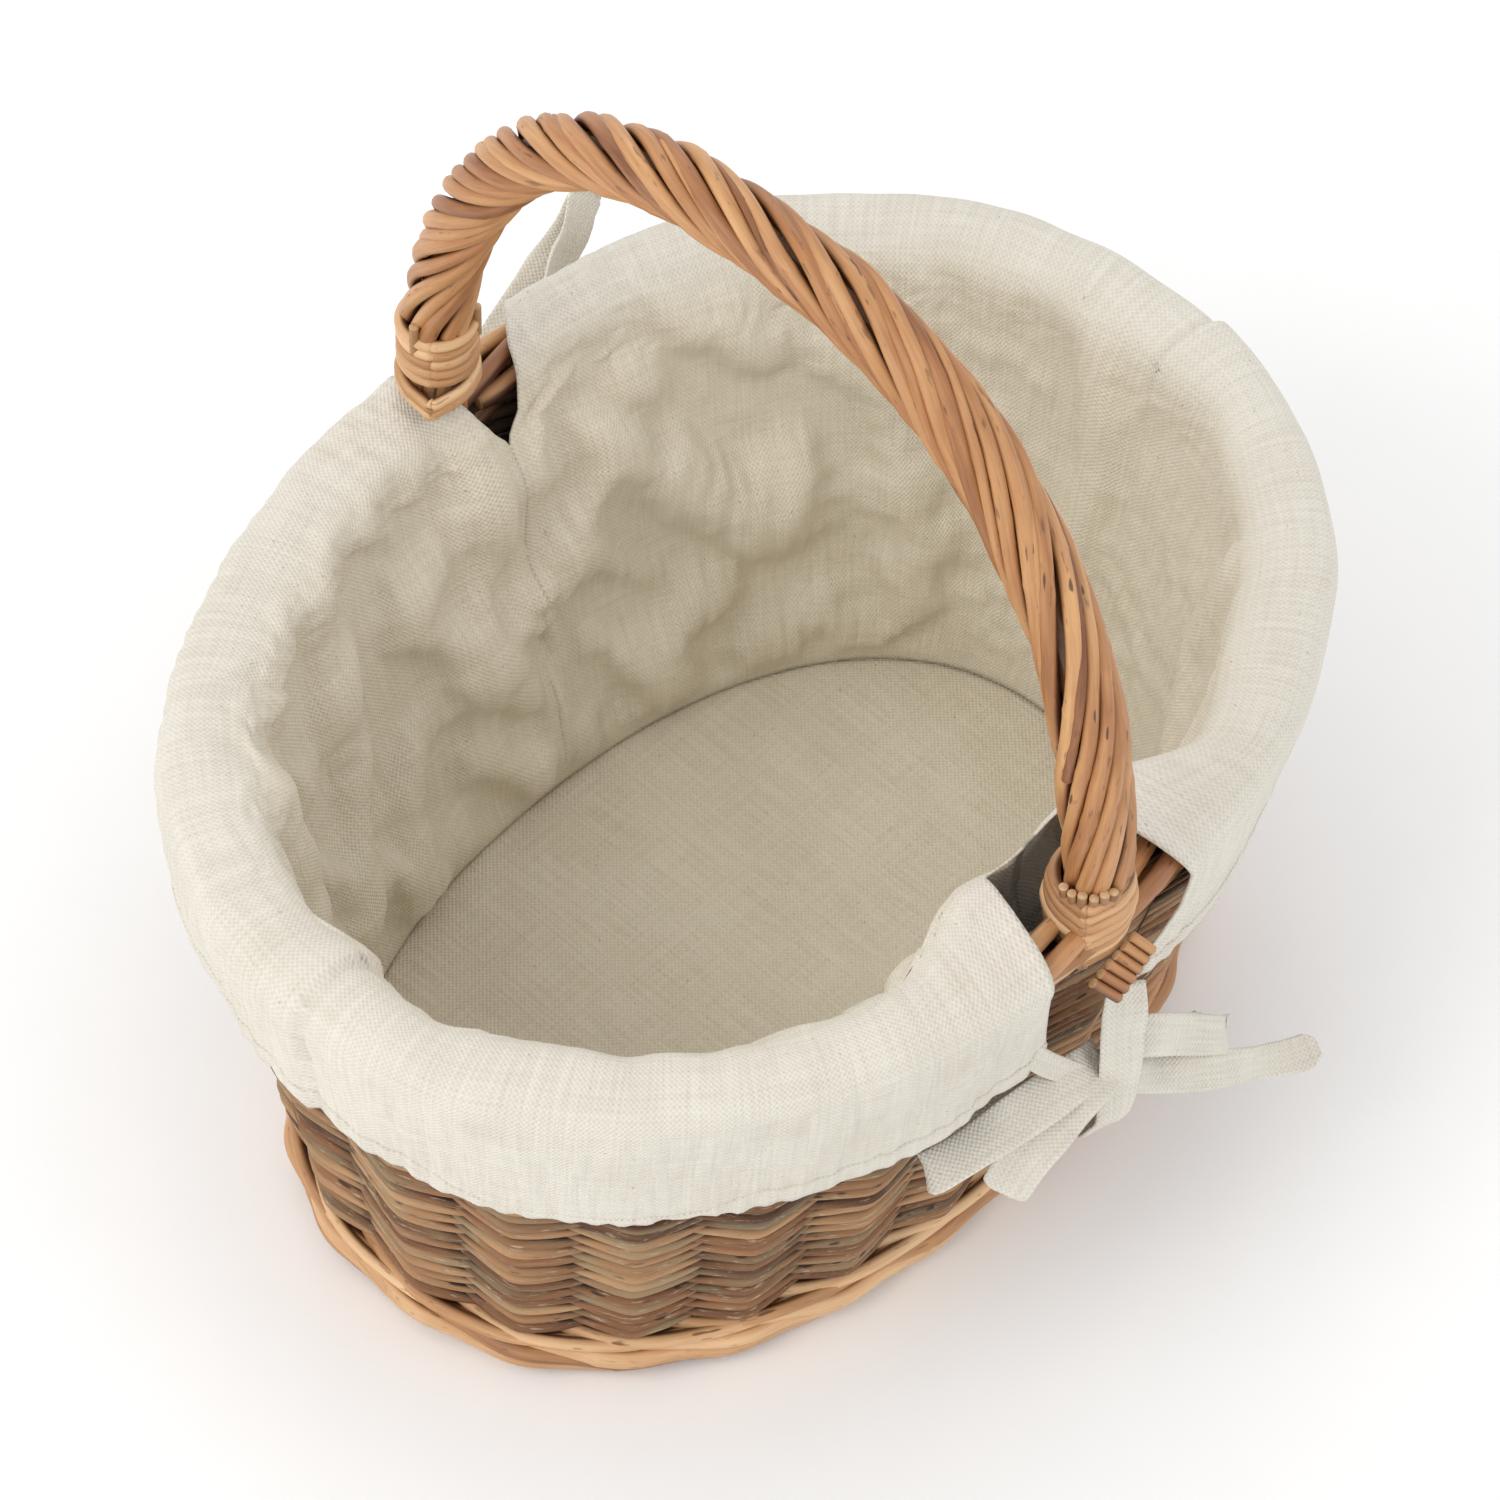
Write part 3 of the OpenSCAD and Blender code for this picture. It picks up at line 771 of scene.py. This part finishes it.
# The cloth is a little larger than what it lines, so it buckles off the wall into folds. Each round nudges
# the threads towards their own lengths, keeps the cloth from bending sharply, and holds it off the willow.
settle = {
    "columns": 124, "rows": 64, "rounds": 340, "pace": 0.45,
    "around": 1.080, "up": 1.065, "cap": 20 * mm, "back": 0.6 * mm,
    # rows down, columns across, share of its length, stiffness, whether it only resists being pressed shorter
    "spans": (
        (1, 0, 1.0, 1.0, False), (3, 0, 0.985, 0.32, True), (6, 0, 0.95, 0.16, True),
        (0, 1, 1.0, 1.0, False), (0, 3, 0.985, 0.32, True), (0, 6, 0.95, 0.16, True),
        (1, 1, 1.0, 0.24, False), (1, -1, 1.0, 0.24, False),
    ),
}


# Both ends of every span of a grid: so many rows down and so many columns across
def spanEnds(grid, down, across):
    rows, columns = grid.shape[:2]
    right = max(across, 0)
    left = max(-across, 0)
    return grid[:rows - down, left:columns - right], grid[down:, right:columns - left]


def settleCloth(flat, normal, seed, loose):
    spans = []
    for down, across, share, stiffness, pushOnly in settle["spans"]:
        first, second = spanEnds(flat, down, across)
        growth = (settle["up"] - 1) * (down > 0) + (settle["around"] - 1) * (across != 0)
        spare = growth / ((down > 0) + (across != 0)) * spanEnds(loose, down, abs(across))[1]
        rest = np.linalg.norm(second - first, axis=2) * (1 + spare) * share
        spans.append((down, across, rest[:, :, None], stiffness, pushOnly))
    points = flat + normal * seed[:, :, None]
    free = np.zeros(flat.shape[:2] + (1,))
    free[2:, 2:-2] = 1
    for _ in range(settle["rounds"]):
        sums = np.zeros_like(points)
        for down, across, rest, stiffness, pushOnly in spans:
            first, second = spanEnds(points, down, across)
            apart = second - first
            length = np.maximum(np.linalg.norm(apart, axis=2, keepdims=True), 1e-9)
            error = (length - rest) / length
            if pushOnly:
                error = np.minimum(error, 0)
            move = 0.5 * stiffness * error * apart
            nearEnds, farEnds = spanEnds(sums, down, across)
            nearEnds += move
            farEnds -= move
        points = points + settle["pace"] * sums * free
        away = ((points - flat) * normal).sum(axis=2)
        wanted = np.clip(away, -settle["back"], settle["cap"])
        points = points + normal * (wanted - away)[:, :, None] * free
    return points - flat


class LinerCloth:
    def __init__(self):
        line = smoothPath([(offset * mm, floorZ + up * mm) for offset, up in liner["line"]], 500)
        self.offsets, self.heights = line.T
        self.run = runAlong(line)
        self.length = self.run[-1]
        self.crest = self.run[int(np.argmax(self.heights))]
        overRim = np.linspace(self.crest - 36 * mm, self.crest + 26 * mm, 48)
        inside = np.linspace(0, overRim[0], 56)[:-1]
        skirt = np.linspace(overRim[-1], self.length, 30)[1:]
        self.rows = np.concatenate([inside, overRim, skirt])
        coarse = np.linspace(0, 1, settle["rows"])
        self.coarseRows = np.interp(coarse, np.linspace(0, 1, len(self.rows)), self.rows)
        self.folds = {}
        for left in (False, True):
            flat, normal, degrees, run = self.smooth(left, self.coarseRows, settle["columns"])
            seed = self.lift(degrees.ravel(), run.ravel(), flat.reshape(-1, 3)).reshape(degrees.shape)
            self.folds[left] = settleCloth(flat, normal, seed, self.looseness(degrees, run))

    # Degrees where a cut edge runs, at distances up the cloth
    def edge(self, name, run):
        return lookUp(liner["cuts"][name], (run - self.crest) / mm)

    # The cloth's own distance, once the skirt is as short or long as it is there
    def stretched(self, degrees, run):
        rise = lookUp(liner["hem"], (degrees + 182.5) % 360 - 182.5) * mm
        skirt = self.length - self.crest
        return np.where(run > self.crest, self.crest + (run - self.crest) * (skirt - rise) / skirt, run)

    # How much spare cloth there is: most inside, least along the hem
    def looseness(self, degrees, run):
        inside = 1 - smoothStep(run, self.crest - 50 * mm, self.crest - 18 * mm)
        outside = smoothStep(run, self.crest + 12 * mm, self.crest + 34 * mm)
        return lookUp(liner["spare"], degreesFrom(degrees, 0)) * (0.22 + 0.78 * inside + 0.30 * outside)

    def onProfile(self, degrees, run):
        offset = np.interp(run, self.run, self.offsets)
        return onWall(degrees, offset, np.interp(run, self.run, self.heights))

    def insideShare(self, run):
        return 1 - smoothStep(run, self.crest - 34 * mm, self.crest - 6 * mm)

    # Drawn folds, which the settling then turns into cloth
    def lift(self, degrees, run, places):
        inside = self.insideShare(run) * smoothStep(run, 0, 22 * mm)
        outside = smoothStep(run, self.crest + 8 * mm, self.crest + 40 * mm)
        overRim = np.exp(-((run - self.crest) / (30 * mm)) ** 2)
        pillow = noiseAt(places, (13, 13, 11), 1)
        bent = places + 0.02 * noiseAt(places, (20, 20, 20), 9)[:, None]
        crease = 1 - 2.6 * np.abs(noiseAt(bent, (10, 10, 20), 3))
        spare = lookUp(liner["spare"], degreesFrom(degrees, 0))
        made = inside * spare * (liner["pillow"] * (pillow + 0.5) + liner["creases"] * crease)
        made += inside * self.drawnFolds(degrees, np.interp(run, self.run, self.heights))
        wave = noiseAt(places, (13, 13, 5), 5) + 0.25 * noiseAt(places, (30, 30, 12), 6)
        down = smoothStep(run, self.crest, self.length)
        made += outside * liner["skirtWave"] * (wave * (0.6 + 0.9 * down) + 0.25)
        return made + overRim * liner["rimWave"] * (noiseAt(places, (18, 18, 18), 7) + 0.4)

    def drawnFolds(self, degrees, z):
        made = np.zeros(len(degrees))
        reach = 180 * mm
        for wide, deep, *places in liner["folds"]:
            nearest = np.full(len(degrees), 1e3)
            for first, second in zip(places, places[1:]):
                a = np.array([math.radians(first[0]) * reach, floorZ + first[1] * mm])
                b = np.array([math.radians(second[0]) * reach, floorZ + second[1] * mm])
                spot = np.stack([np.radians(degreesFrom(degrees, first[0]) + first[0]) * reach, z], axis=1)
                along = np.clip(((spot - a) @ (b - a)) / ((b - a) @ (b - a)), 0, 1)
                nearest = np.minimum(nearest, np.linalg.norm(spot - (a + along[:, None] * (b - a)), axis=1))
            made += deep * mm * np.exp(-(nearest / (wide * mm)) ** 1.25)
        return made

    # Where panels overlap at the side seams
    def seams(self, degrees, run):
        made = np.zeros_like(degrees)
        for seam in (180, -5):
            step = -degreesFrom(degrees, seam)
            ridge = liner["seamRidge"] * np.exp(-(np.maximum(step, 0) / 6) ** 2) * (step > 0)
            made += (1 - self.insideShare(run) * 0.6) * ridge
            made -= 0.5 * mm * np.exp(-((step + 0.5) / 0.4) ** 2)
        return made

    # The cloth without its folds, one half of the basket at a time: places, normals, degrees and distances
    def smooth(self, left, runs, columns):
        start = self.edge("backLeft" if left else "frontRight", runs)
        end = self.edge("frontLeft", runs) + 360 if left else self.edge("backRight", runs)
        degrees = start[:, None] + (end - start)[:, None] * np.linspace(0, 1, columns)
        run = self.stretched(degrees, np.broadcast_to(runs[:, None], degrees.shape))
        points = self.onProfile(degrees, run)
        alongRow = np.gradient(points, axis=1)
        alongRun = self.onProfile(degrees, run + 0.5 * mm) - self.onProfile(degrees, run - 0.5 * mm)
        normal = unit(np.cross(alongRun, alongRow))
        past = run - self.crest
        # the fold by the front handle foot stands free of the willow, and the whole fold wanders a little
        byNotch = 1 - smoothStep(np.abs(degreesFrom(degrees, -90)), 9, 25)
        free = liner["notchFree"] * byNotch * smoothStep(past, -85 * mm, -22 * mm)
        free = free * (1 - smoothStep(past, -6 * mm, 22 * mm))
        places = points.reshape(-1, 3)
        wander = noiseAt(places * (1, 1, 0.2), (17, 17, 10), 21) + 0.4 * noiseAt(places, (40, 40, 20), 22)
        wander = wander.reshape(degrees.shape) * np.exp(-((past + 8 * mm) / (26 * mm)) ** 2)
        points = points - outwardAt(points, rimX, rimY) * (free + liner["wander"] * wander)[:, :, None]
        points[:, :, 2] += liner["notchLift"] * byNotch * np.exp(-((past + 16 * mm) / (14 * mm)) ** 2)
        return points, normal, degrees, run

    def half(self, left, runs, columns, extra=0.0):
        points, normal, degrees, run = self.smooth(left, runs, columns)
        row = np.interp(runs, self.coarseRows, np.arange(settle["rows"]))
        column = np.linspace(0, settle["columns"] - 1, columns)
        folds = smoothRows(self.folds[left], row).swapaxes(0, 1)
        points = points + smoothRows(folds, column).swapaxes(0, 1)
        ripple = noiseAt(points.reshape(-1, 3), (55, 55, 50), 8).reshape(degrees.shape) * liner["ripple"]
        points = points + normal * (ripple + self.seams(degrees, run) + extra)[:, :, None]
        return points, np.stack([np.radians(degrees) * 195 * mm, run, 0 * run], axis=-1)


# For canvas that gets no painted inside shade
def noPaintedInsideShade(run):
    return 0 * run


# Canvas from grids of points and their places along the threads; a closed grid is a tube with both ends shut
def canvasPiece(name, parts, replaced, lined=noPaintedInsideShade, closed=False):
    faces = []
    count = 0
    for points, thread in parts:
        rows, columns = points.shape[:2]
        faces += gridFaces(rows, columns, count, closed)
        if closed:
            faces.append([count + columns - 1 - j for j in range(columns)])
            faces.append([count + (rows - 1) * columns + j for j in range(columns)])
        count += rows * columns
    points = np.concatenate([points.reshape(-1, 3) for points, thread in parts])
    thread = np.concatenate([thread.reshape(-1, 3) for points, thread in parts])
    mesh = newMesh(name, points, faces)
    setAttribute(mesh, "thread", thread)
    setAttribute(mesh, "place", points)
    setAttribute(mesh, "lined", lined(thread[:, 1]))
    return finishPiece(name, mesh, ecruCanvas, replaced)


def applyModifiers(piece):
    graph = bpy.context.evaluated_depsgraph_get()
    made = bpy.data.meshes.new_from_object(piece.evaluated_get(graph))
    piece.modifiers.clear()
    piece.data = made


# Canvas with a thickness
def clothPiece(name, parts, replaced, lined=noPaintedInsideShade, weld=True):
    piece = canvasPiece(name, parts, replaced, lined)
    if weld:
        piece.modifiers.new("weld", "WELD").merge_threshold = 0.05 * mm
    piece.modifiers.new("thickness", "SOLIDIFY").thickness = liner["thickness"]
    applyModifiers(piece)
    return piece


def makeLiner():
    cloth = LinerCloth()
    halves = [cloth.half(left, cloth.rows, liner["columns"]) for left in (False, True)]
    # the inside of the body gets the full painted inside shade, fading out just before the crest of the rim
    body = clothPiece("liner_body", halves,
                      ["liner_wall_front", "liner_wall_back", "skirt_left", "skirt_right"],
                      lambda run: 1 - smoothStep(run, cloth.crest - 30 * mm, cloth.crest - 4 * mm))
    hemEnd = cloth.length + 0.6 * mm
    hemRuns = np.linspace(hemEnd - liner["hemWidth"], hemEnd, 7)
    for left, hand in ((True, "left"), (False, "right")):
        part = cloth.half(left, hemRuns, liner["columns"], 0.55 * mm)
        band = clothPiece(f"hem_band_{hand}", [part], [f"hem_{hand}"], weld=False)
    makeLinerFloor(cloth)


linerFloor = {
    "rings": 46, "lift": 1.0 * mm, "bumps": 1.6 * mm, "wrinkles": 0.9 * mm, "edgeDip": 1.6 * mm,
    "wrinkleTurn": ((0.8, -0.6, 0), (0.6, 0.8, 0), (0, 0, 1)),     # which way its wrinkles run
}


def makeLinerFloor(cloth):
    columns = liner["columns"]
    seam = cloth.onProfile(np.linspace(0, 360, columns), np.zeros(columns))
    share = np.linspace(0, 1, linerFloor["rings"])[:, None]
    points = seam * (1, 1, 0) * share[:, :, None] + (0, 0, floorZ)
    places = points.reshape(-1, 3)
    wrinkle = 1 - 3 * np.abs(noiseAt(places @ np.array(linerFloor["wrinkleTurn"]), (8, 22, 1), 14))
    bumps = noiseAt(places, (15, 15, 1), 12) * linerFloor["bumps"] + wrinkle * linerFloor["wrinkles"]
    points[:, :, 2] += bumps.reshape(-1, columns) * (1 - share ** 10)
    points[:, :, 2] += linerFloor["lift"] - linerFloor["edgeDip"] * share ** 18
    parts = [(points, points * (1, 1, 0))]
    # the floor panel gets the full painted inside shade
    panel = clothPiece("liner_floor_panel", parts, ["liner_floor"], lambda run: 0 * run + 1)


# Each tie is a strap from the skirt's corner, a loop and a tail: width, points from the knot in mm for the
# front bow, and the way its face looks there
ties = {
    "width": 15 * mm, "thickness": 2.6 * mm,
    "knotNudge": (-4, 3, 10),       # from the middle of the knot's own solid, in mm
    "knotWidth": 13 * mm, "knotThickness": 3.4 * mm, "knotTurns": ((20, 8.0), (65, 7.2)),
    "right": (
        (18, [(10, -1, 41), (5, -5, 29), (0, -10, 14), (-4, -13, 1), (-7, -14, -10), (-8, -9, -19),
              (-6, 0, -20)],
         [(0, -1, 0.4), (-0.1, -1, 0.4), (-0.2, -1, 0.5), (-0.3, -1, 0.5), (-0.4, -1, 0), (-0.3, -0.5, -0.8),
          (0, 0.2, -1)]),
        (15, [(2, -3, 16), (14, -8, 13), (32, -12, 0), (50, -14, -17), (58, -12, -26), (60, -7, -27),
              (50, -5, -20), (30, -4, -6), (12, -3, 4), (2, -2, 6)],
         [(-0.2, -0.7, 0.7)] * 3 + [(-0.1, -0.7, 0.7), (0.6, -0.6, -0.1), (0.8, 0.4, -0.5), (0.3, 0.8, -0.5)]
         + [(0.2, 0.8, -0.6)] * 3),
        (13.5, [(2, -8, 1), (14, -11, -8), (39, -18, -24), (70, -23, -45), (84, -27, -51), (91, -31, -49)],
         [(-0.2, -0.6, 0.8)] * 4 + [(-0.4, -0.5, 0.8), (-0.7, -0.2, 0.7)]),
    ),
    "left": (
        (9, [(-36, 7, 42), (-25, 1, 26), (-10, -3, 9), (2, -3, 0)], [(-0.2, -1, 0.5)] * 4),
        (17, [(-2, -4, 12), (-20, -4, 16), (-47, 0, 14), (-64, 4, 10), (-74, 8, 6), (-73, 12, 1),
              (-60, 10, 3), (-40, 6, 6), (-18, 2, 4), (-2, 0, 2)],
         [(-0.35, -0.5, 0.8)] * 3 + [(-0.4, -0.5, 0.8), (-0.9, 0, 0.3), (-0.4, 0.6, -0.5)]
         + [(0.3, 0.6, -0.7)] * 4),
        (17.5, [(-2, -6, 10), (-14, -8, 12), (-25, -8, 9), (-43, -7, 0), (-54, -5, -15)],
         [(-0.3, -0.6, 0.75)] * 3 + [(-0.4, -0.5, 0.75)] * 2),
    ),
}
# The back bow is the front one turned half round, but its left tie stands up behind the skirt
ties["backLeft"] = (
    ties["left"][0],
    (18, [(-2, -4, 6), (-34, -18, 20), (-70, -28, 36), (-96, -32, 47), (-112, -33, 60), (-120, -33, 76),
          (-118, -30, 82), (-108, -27, 72), (-64, -20, 34), (-6, -2, 4)],
     [(0.3, -0.4, 0.9), (0.35, -0.2, 0.9), (0.45, 0.3, 0.8)] + [(0.45, 0.4, 0.8)] * 3
     + [(0.2, 0.9, 0.4), (-0.4, -0.4, -0.8)] + [(-0.3, -0.4, -0.8)] * 2),
    (14, [(-2, -6, 2), (-40, -20, 6), (-96, -30, 10), (-141, -33, 22)], [(0.45, 0.2, 0.8)] * 4),
)


# A folded canvas strap, as a grid of points round it and their places along the threads
def strap(points, faces, width, thickness, curl=0.12, seed=1, tail=False, steps=60, sides=18):
    rng = np.random.default_rng(seed)
    path = smoothPath(points, steps)
    ahead = unit(np.gradient(path, axis=0))
    across = unit(np.cross(ahead, unit(smoothPath(faces, steps))))
    top = np.cross(across, ahead)
    turn = 2 * math.pi * np.arange(sides) / sides
    outlineX = signedPower(np.cos(turn), 0.6)
    outlineZ = signedPower(np.sin(turn), 0.8)
    run = runAlong(path)
    share = np.linspace(0, 1, steps)
    widths = width / 2 * (1 + 0.06 * np.sin(run * 75 + rng.uniform(0, 6)))
    if tail:
        widths = widths * np.sqrt(1 - 0.75 * np.clip((share - 0.94) / 0.06, 0, 1) ** 2)
    cup = curl * (1 + 0.6 * np.sin(run * 60 + rng.uniform(0, 6)) + (2.5 * share ** 4 if tail else 0))
    ripple = 0.5 * mm * np.sin(run * 190 + rng.uniform(0, 6))
    sideways = outlineX * widths[:, None]
    raised = outlineZ * thickness / 2 + cup[:, None] * sideways ** 2 / width * 2 + ripple[:, None] * outlineX
    points = path[:, None] + sideways[..., None] * across[:, None] + raised[..., None] * top[:, None]
    rumple = noiseAt(points.reshape(-1, 3), (75, 75, 75), 40 + seed).reshape(points.shape[:2])
    points = points + (rumple * 2.2 * mm)[..., None] * top[:, None]
    return points, np.stack(np.broadcast_arrays(sideways, run[:, None], 0.0), axis=-1)


def makeTies():
    knotLow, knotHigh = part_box("knot_front")
    knot = np.array((knotLow + knotHigh) / 2) + np.array(ties["knotNudge"]) * mm
    for end, sign in (("front", 1), ("back", -1)):
        halfTurn = np.array([sign, sign, 1])
        for hand in ("left", "right"):
            shapes = ties["backLeft" if (end, hand) == ("back", "left") else hand]
            straps = [strap((knot + np.array(points) * mm) * halfTurn, np.array(faces) * halfTurn,
                            width * mm, ties["thickness"], seed=k + 3, tail=k == 2)
                      for k, (width, points, faces) in enumerate(shapes)]
            piece = canvasPiece(f"tie_{end}_{hand}_strap", straps, [f"tie_{end}_{hand}"], closed=True)
        makeKnot(end, knot, halfTurn)


# Two turns of strap, one leaning across the other
def makeKnot(end, knot, halfTurn):
    straps = []
    a = np.radians(np.linspace(-200, 200, 9))
    for k, (tilt, size) in enumerate(ties["knotTurns"]):
        lean = math.radians(tilt)
        outward = np.stack([np.cos(a) * math.cos(lean), 0.8 * np.sin(a), np.cos(a) * math.sin(lean)], axis=1)
        ring = size * outward + np.stack([0 * a, 0 * a - 4, 0.8 * np.sin(a / 2)], axis=1)
        straps.append(strap((knot + ring * mm) * halfTurn, outward * halfTurn, ties["knotWidth"],
                            ties["knotThickness"], curl=-0.5, seed=k))
    piece = canvasPiece(f"knot_{end}_wrap", straps, [f"knot_{end}"], closed=True)


frameLooks = {
    "stakes": brownWillow, "handle_bow": honeyWillow,
    "base_sticks_long": buffWillow, "base_sticks_cross": buffWillow,
}


# The pieces that stay as they came get their willow too
def coatFrame():
    for name, material in frameLooks.items():
        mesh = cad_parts[name].data
        points = np.zeros(len(mesh.vertices) * 3)
        mesh.vertices.foreach_get("co", points)
        points = points.reshape(-1, 3)
        setAttribute(mesh, "grain", points[:, [2, 0, 1]] if name == "stakes" else points)
        setAttribute(mesh, "tint", np.full(len(points), 0.4))
        # an even amount of painted shade on every frame piece
        setAttribute(mesh, "crease", np.full(len(points), 0.55))
        mesh.materials.clear()
        mesh.materials.append(material)


view = {
    "azimuth": -48.13, "elevation": 52.70, "roll": 2.0, "distance": 2.633, "lens": 173.4,
    "aim": (0.0147, 0.0144, 0.1280),
}


def makeCamera():
    a = math.radians(view["azimuth"])
    e = math.radians(view["elevation"])
    r = math.radians(view["roll"])
    back = Vector((math.sin(a) * math.cos(e), -math.cos(a) * math.cos(e), math.sin(e)))
    level = Vector((math.cos(a), math.sin(a), 0))
    upright = back.cross(level)
    right = level * math.cos(r) + upright * math.sin(r)
    up = upright * math.cos(r) - level * math.sin(r)
    turn = Matrix((right, up, back)).transposed()
    data = bpy.data.cameras.new("camera")
    data.lens = view["lens"]
    data.sensor_width = 36
    data.clip_end = 50
    camera = newObject("camera", data)
    camera.matrix_world = Matrix.Translation(Vector(view["aim"]) + back * view["distance"]) @ turn.to_4x4()
    bpy.context.scene.camera = camera


studio = {
    "world": 0.87, "floorHalf": 12, "floorPale": (0.985, 0.985, 0.985), "floorShade": (0.96, 0.96, 0.96),
    "aim": (0, 0, 0.1),
    # name, place, size, power and colour of each lamp
    "lamps": (
        ("key", (-2.3, 0.3, 2.1), 2.0, 32, (1.0, 0.985, 0.96)),
        ("fill", (1.2, -2.2, 1.5), 2.2, 9, (0.97, 0.98, 1.0)),
        ("back", (1.6, 2.0, 2.2), 2.2, 12, (1.0, 1.0, 1.0)),
    ),
}


def makeStudio():
    scene = bpy.context.scene
    for name, place, size, power, colour in studio["lamps"]:
        data = bpy.data.lights.new(name, "AREA")
        data.shape = "DISK"
        data.size = size
        data.energy = power
        data.color = colour
        lamp = newObject(name, data)
        lamp.location = place
        lamp.rotation_euler = (Vector(studio["aim"]) - Vector(place)).to_track_quat("-Z", "Y").to_euler()
    scene.world = bpy.data.worlds.new("studio")
    scene.world.use_nodes = True
    background = scene.world.node_tree.nodes["Background"]
    background.inputs[0].default_value = (1, 1, 1, 1)
    background.inputs[1].default_value = studio["world"]
    scene.view_settings.view_transform = "Standard"
    half = studio["floorHalf"]
    corners = [(-half, -half, 0), (half, -half, 0), (half, half, 0), (-half, half, 0)]
    mesh = newMesh("floor", corners, [(0, 1, 2, 3)])
    floor = newObject("floor", mesh)
    f = Finish("paleFloor")
    paper = f.noise(f.add("ShaderNodeTexCoord", out="Object"), 40, 3)
    mesh.materials.append(f.shade({
        "Base Color": f.blend(paper, studio["floorShade"], studio["floorPale"]),
        "Roughness": 0.85,
    }))


makeCamera()
makeStudio()
makeBase()
makeFoot()
makeWale(upsett, 17, "upsett_wale_rods", "upsett_wale")
print("foot and base woven")
makeSide()
print("side woven")
makeWale(topWale, 29, "top_wale_rods", "top_wale")
makeBorder()
makeHandle()
makeCollars()
print("rim, handle and collars done")
makeLiner()
print("liner hung")
makeTies()
print("ties tied")
coatFrame()
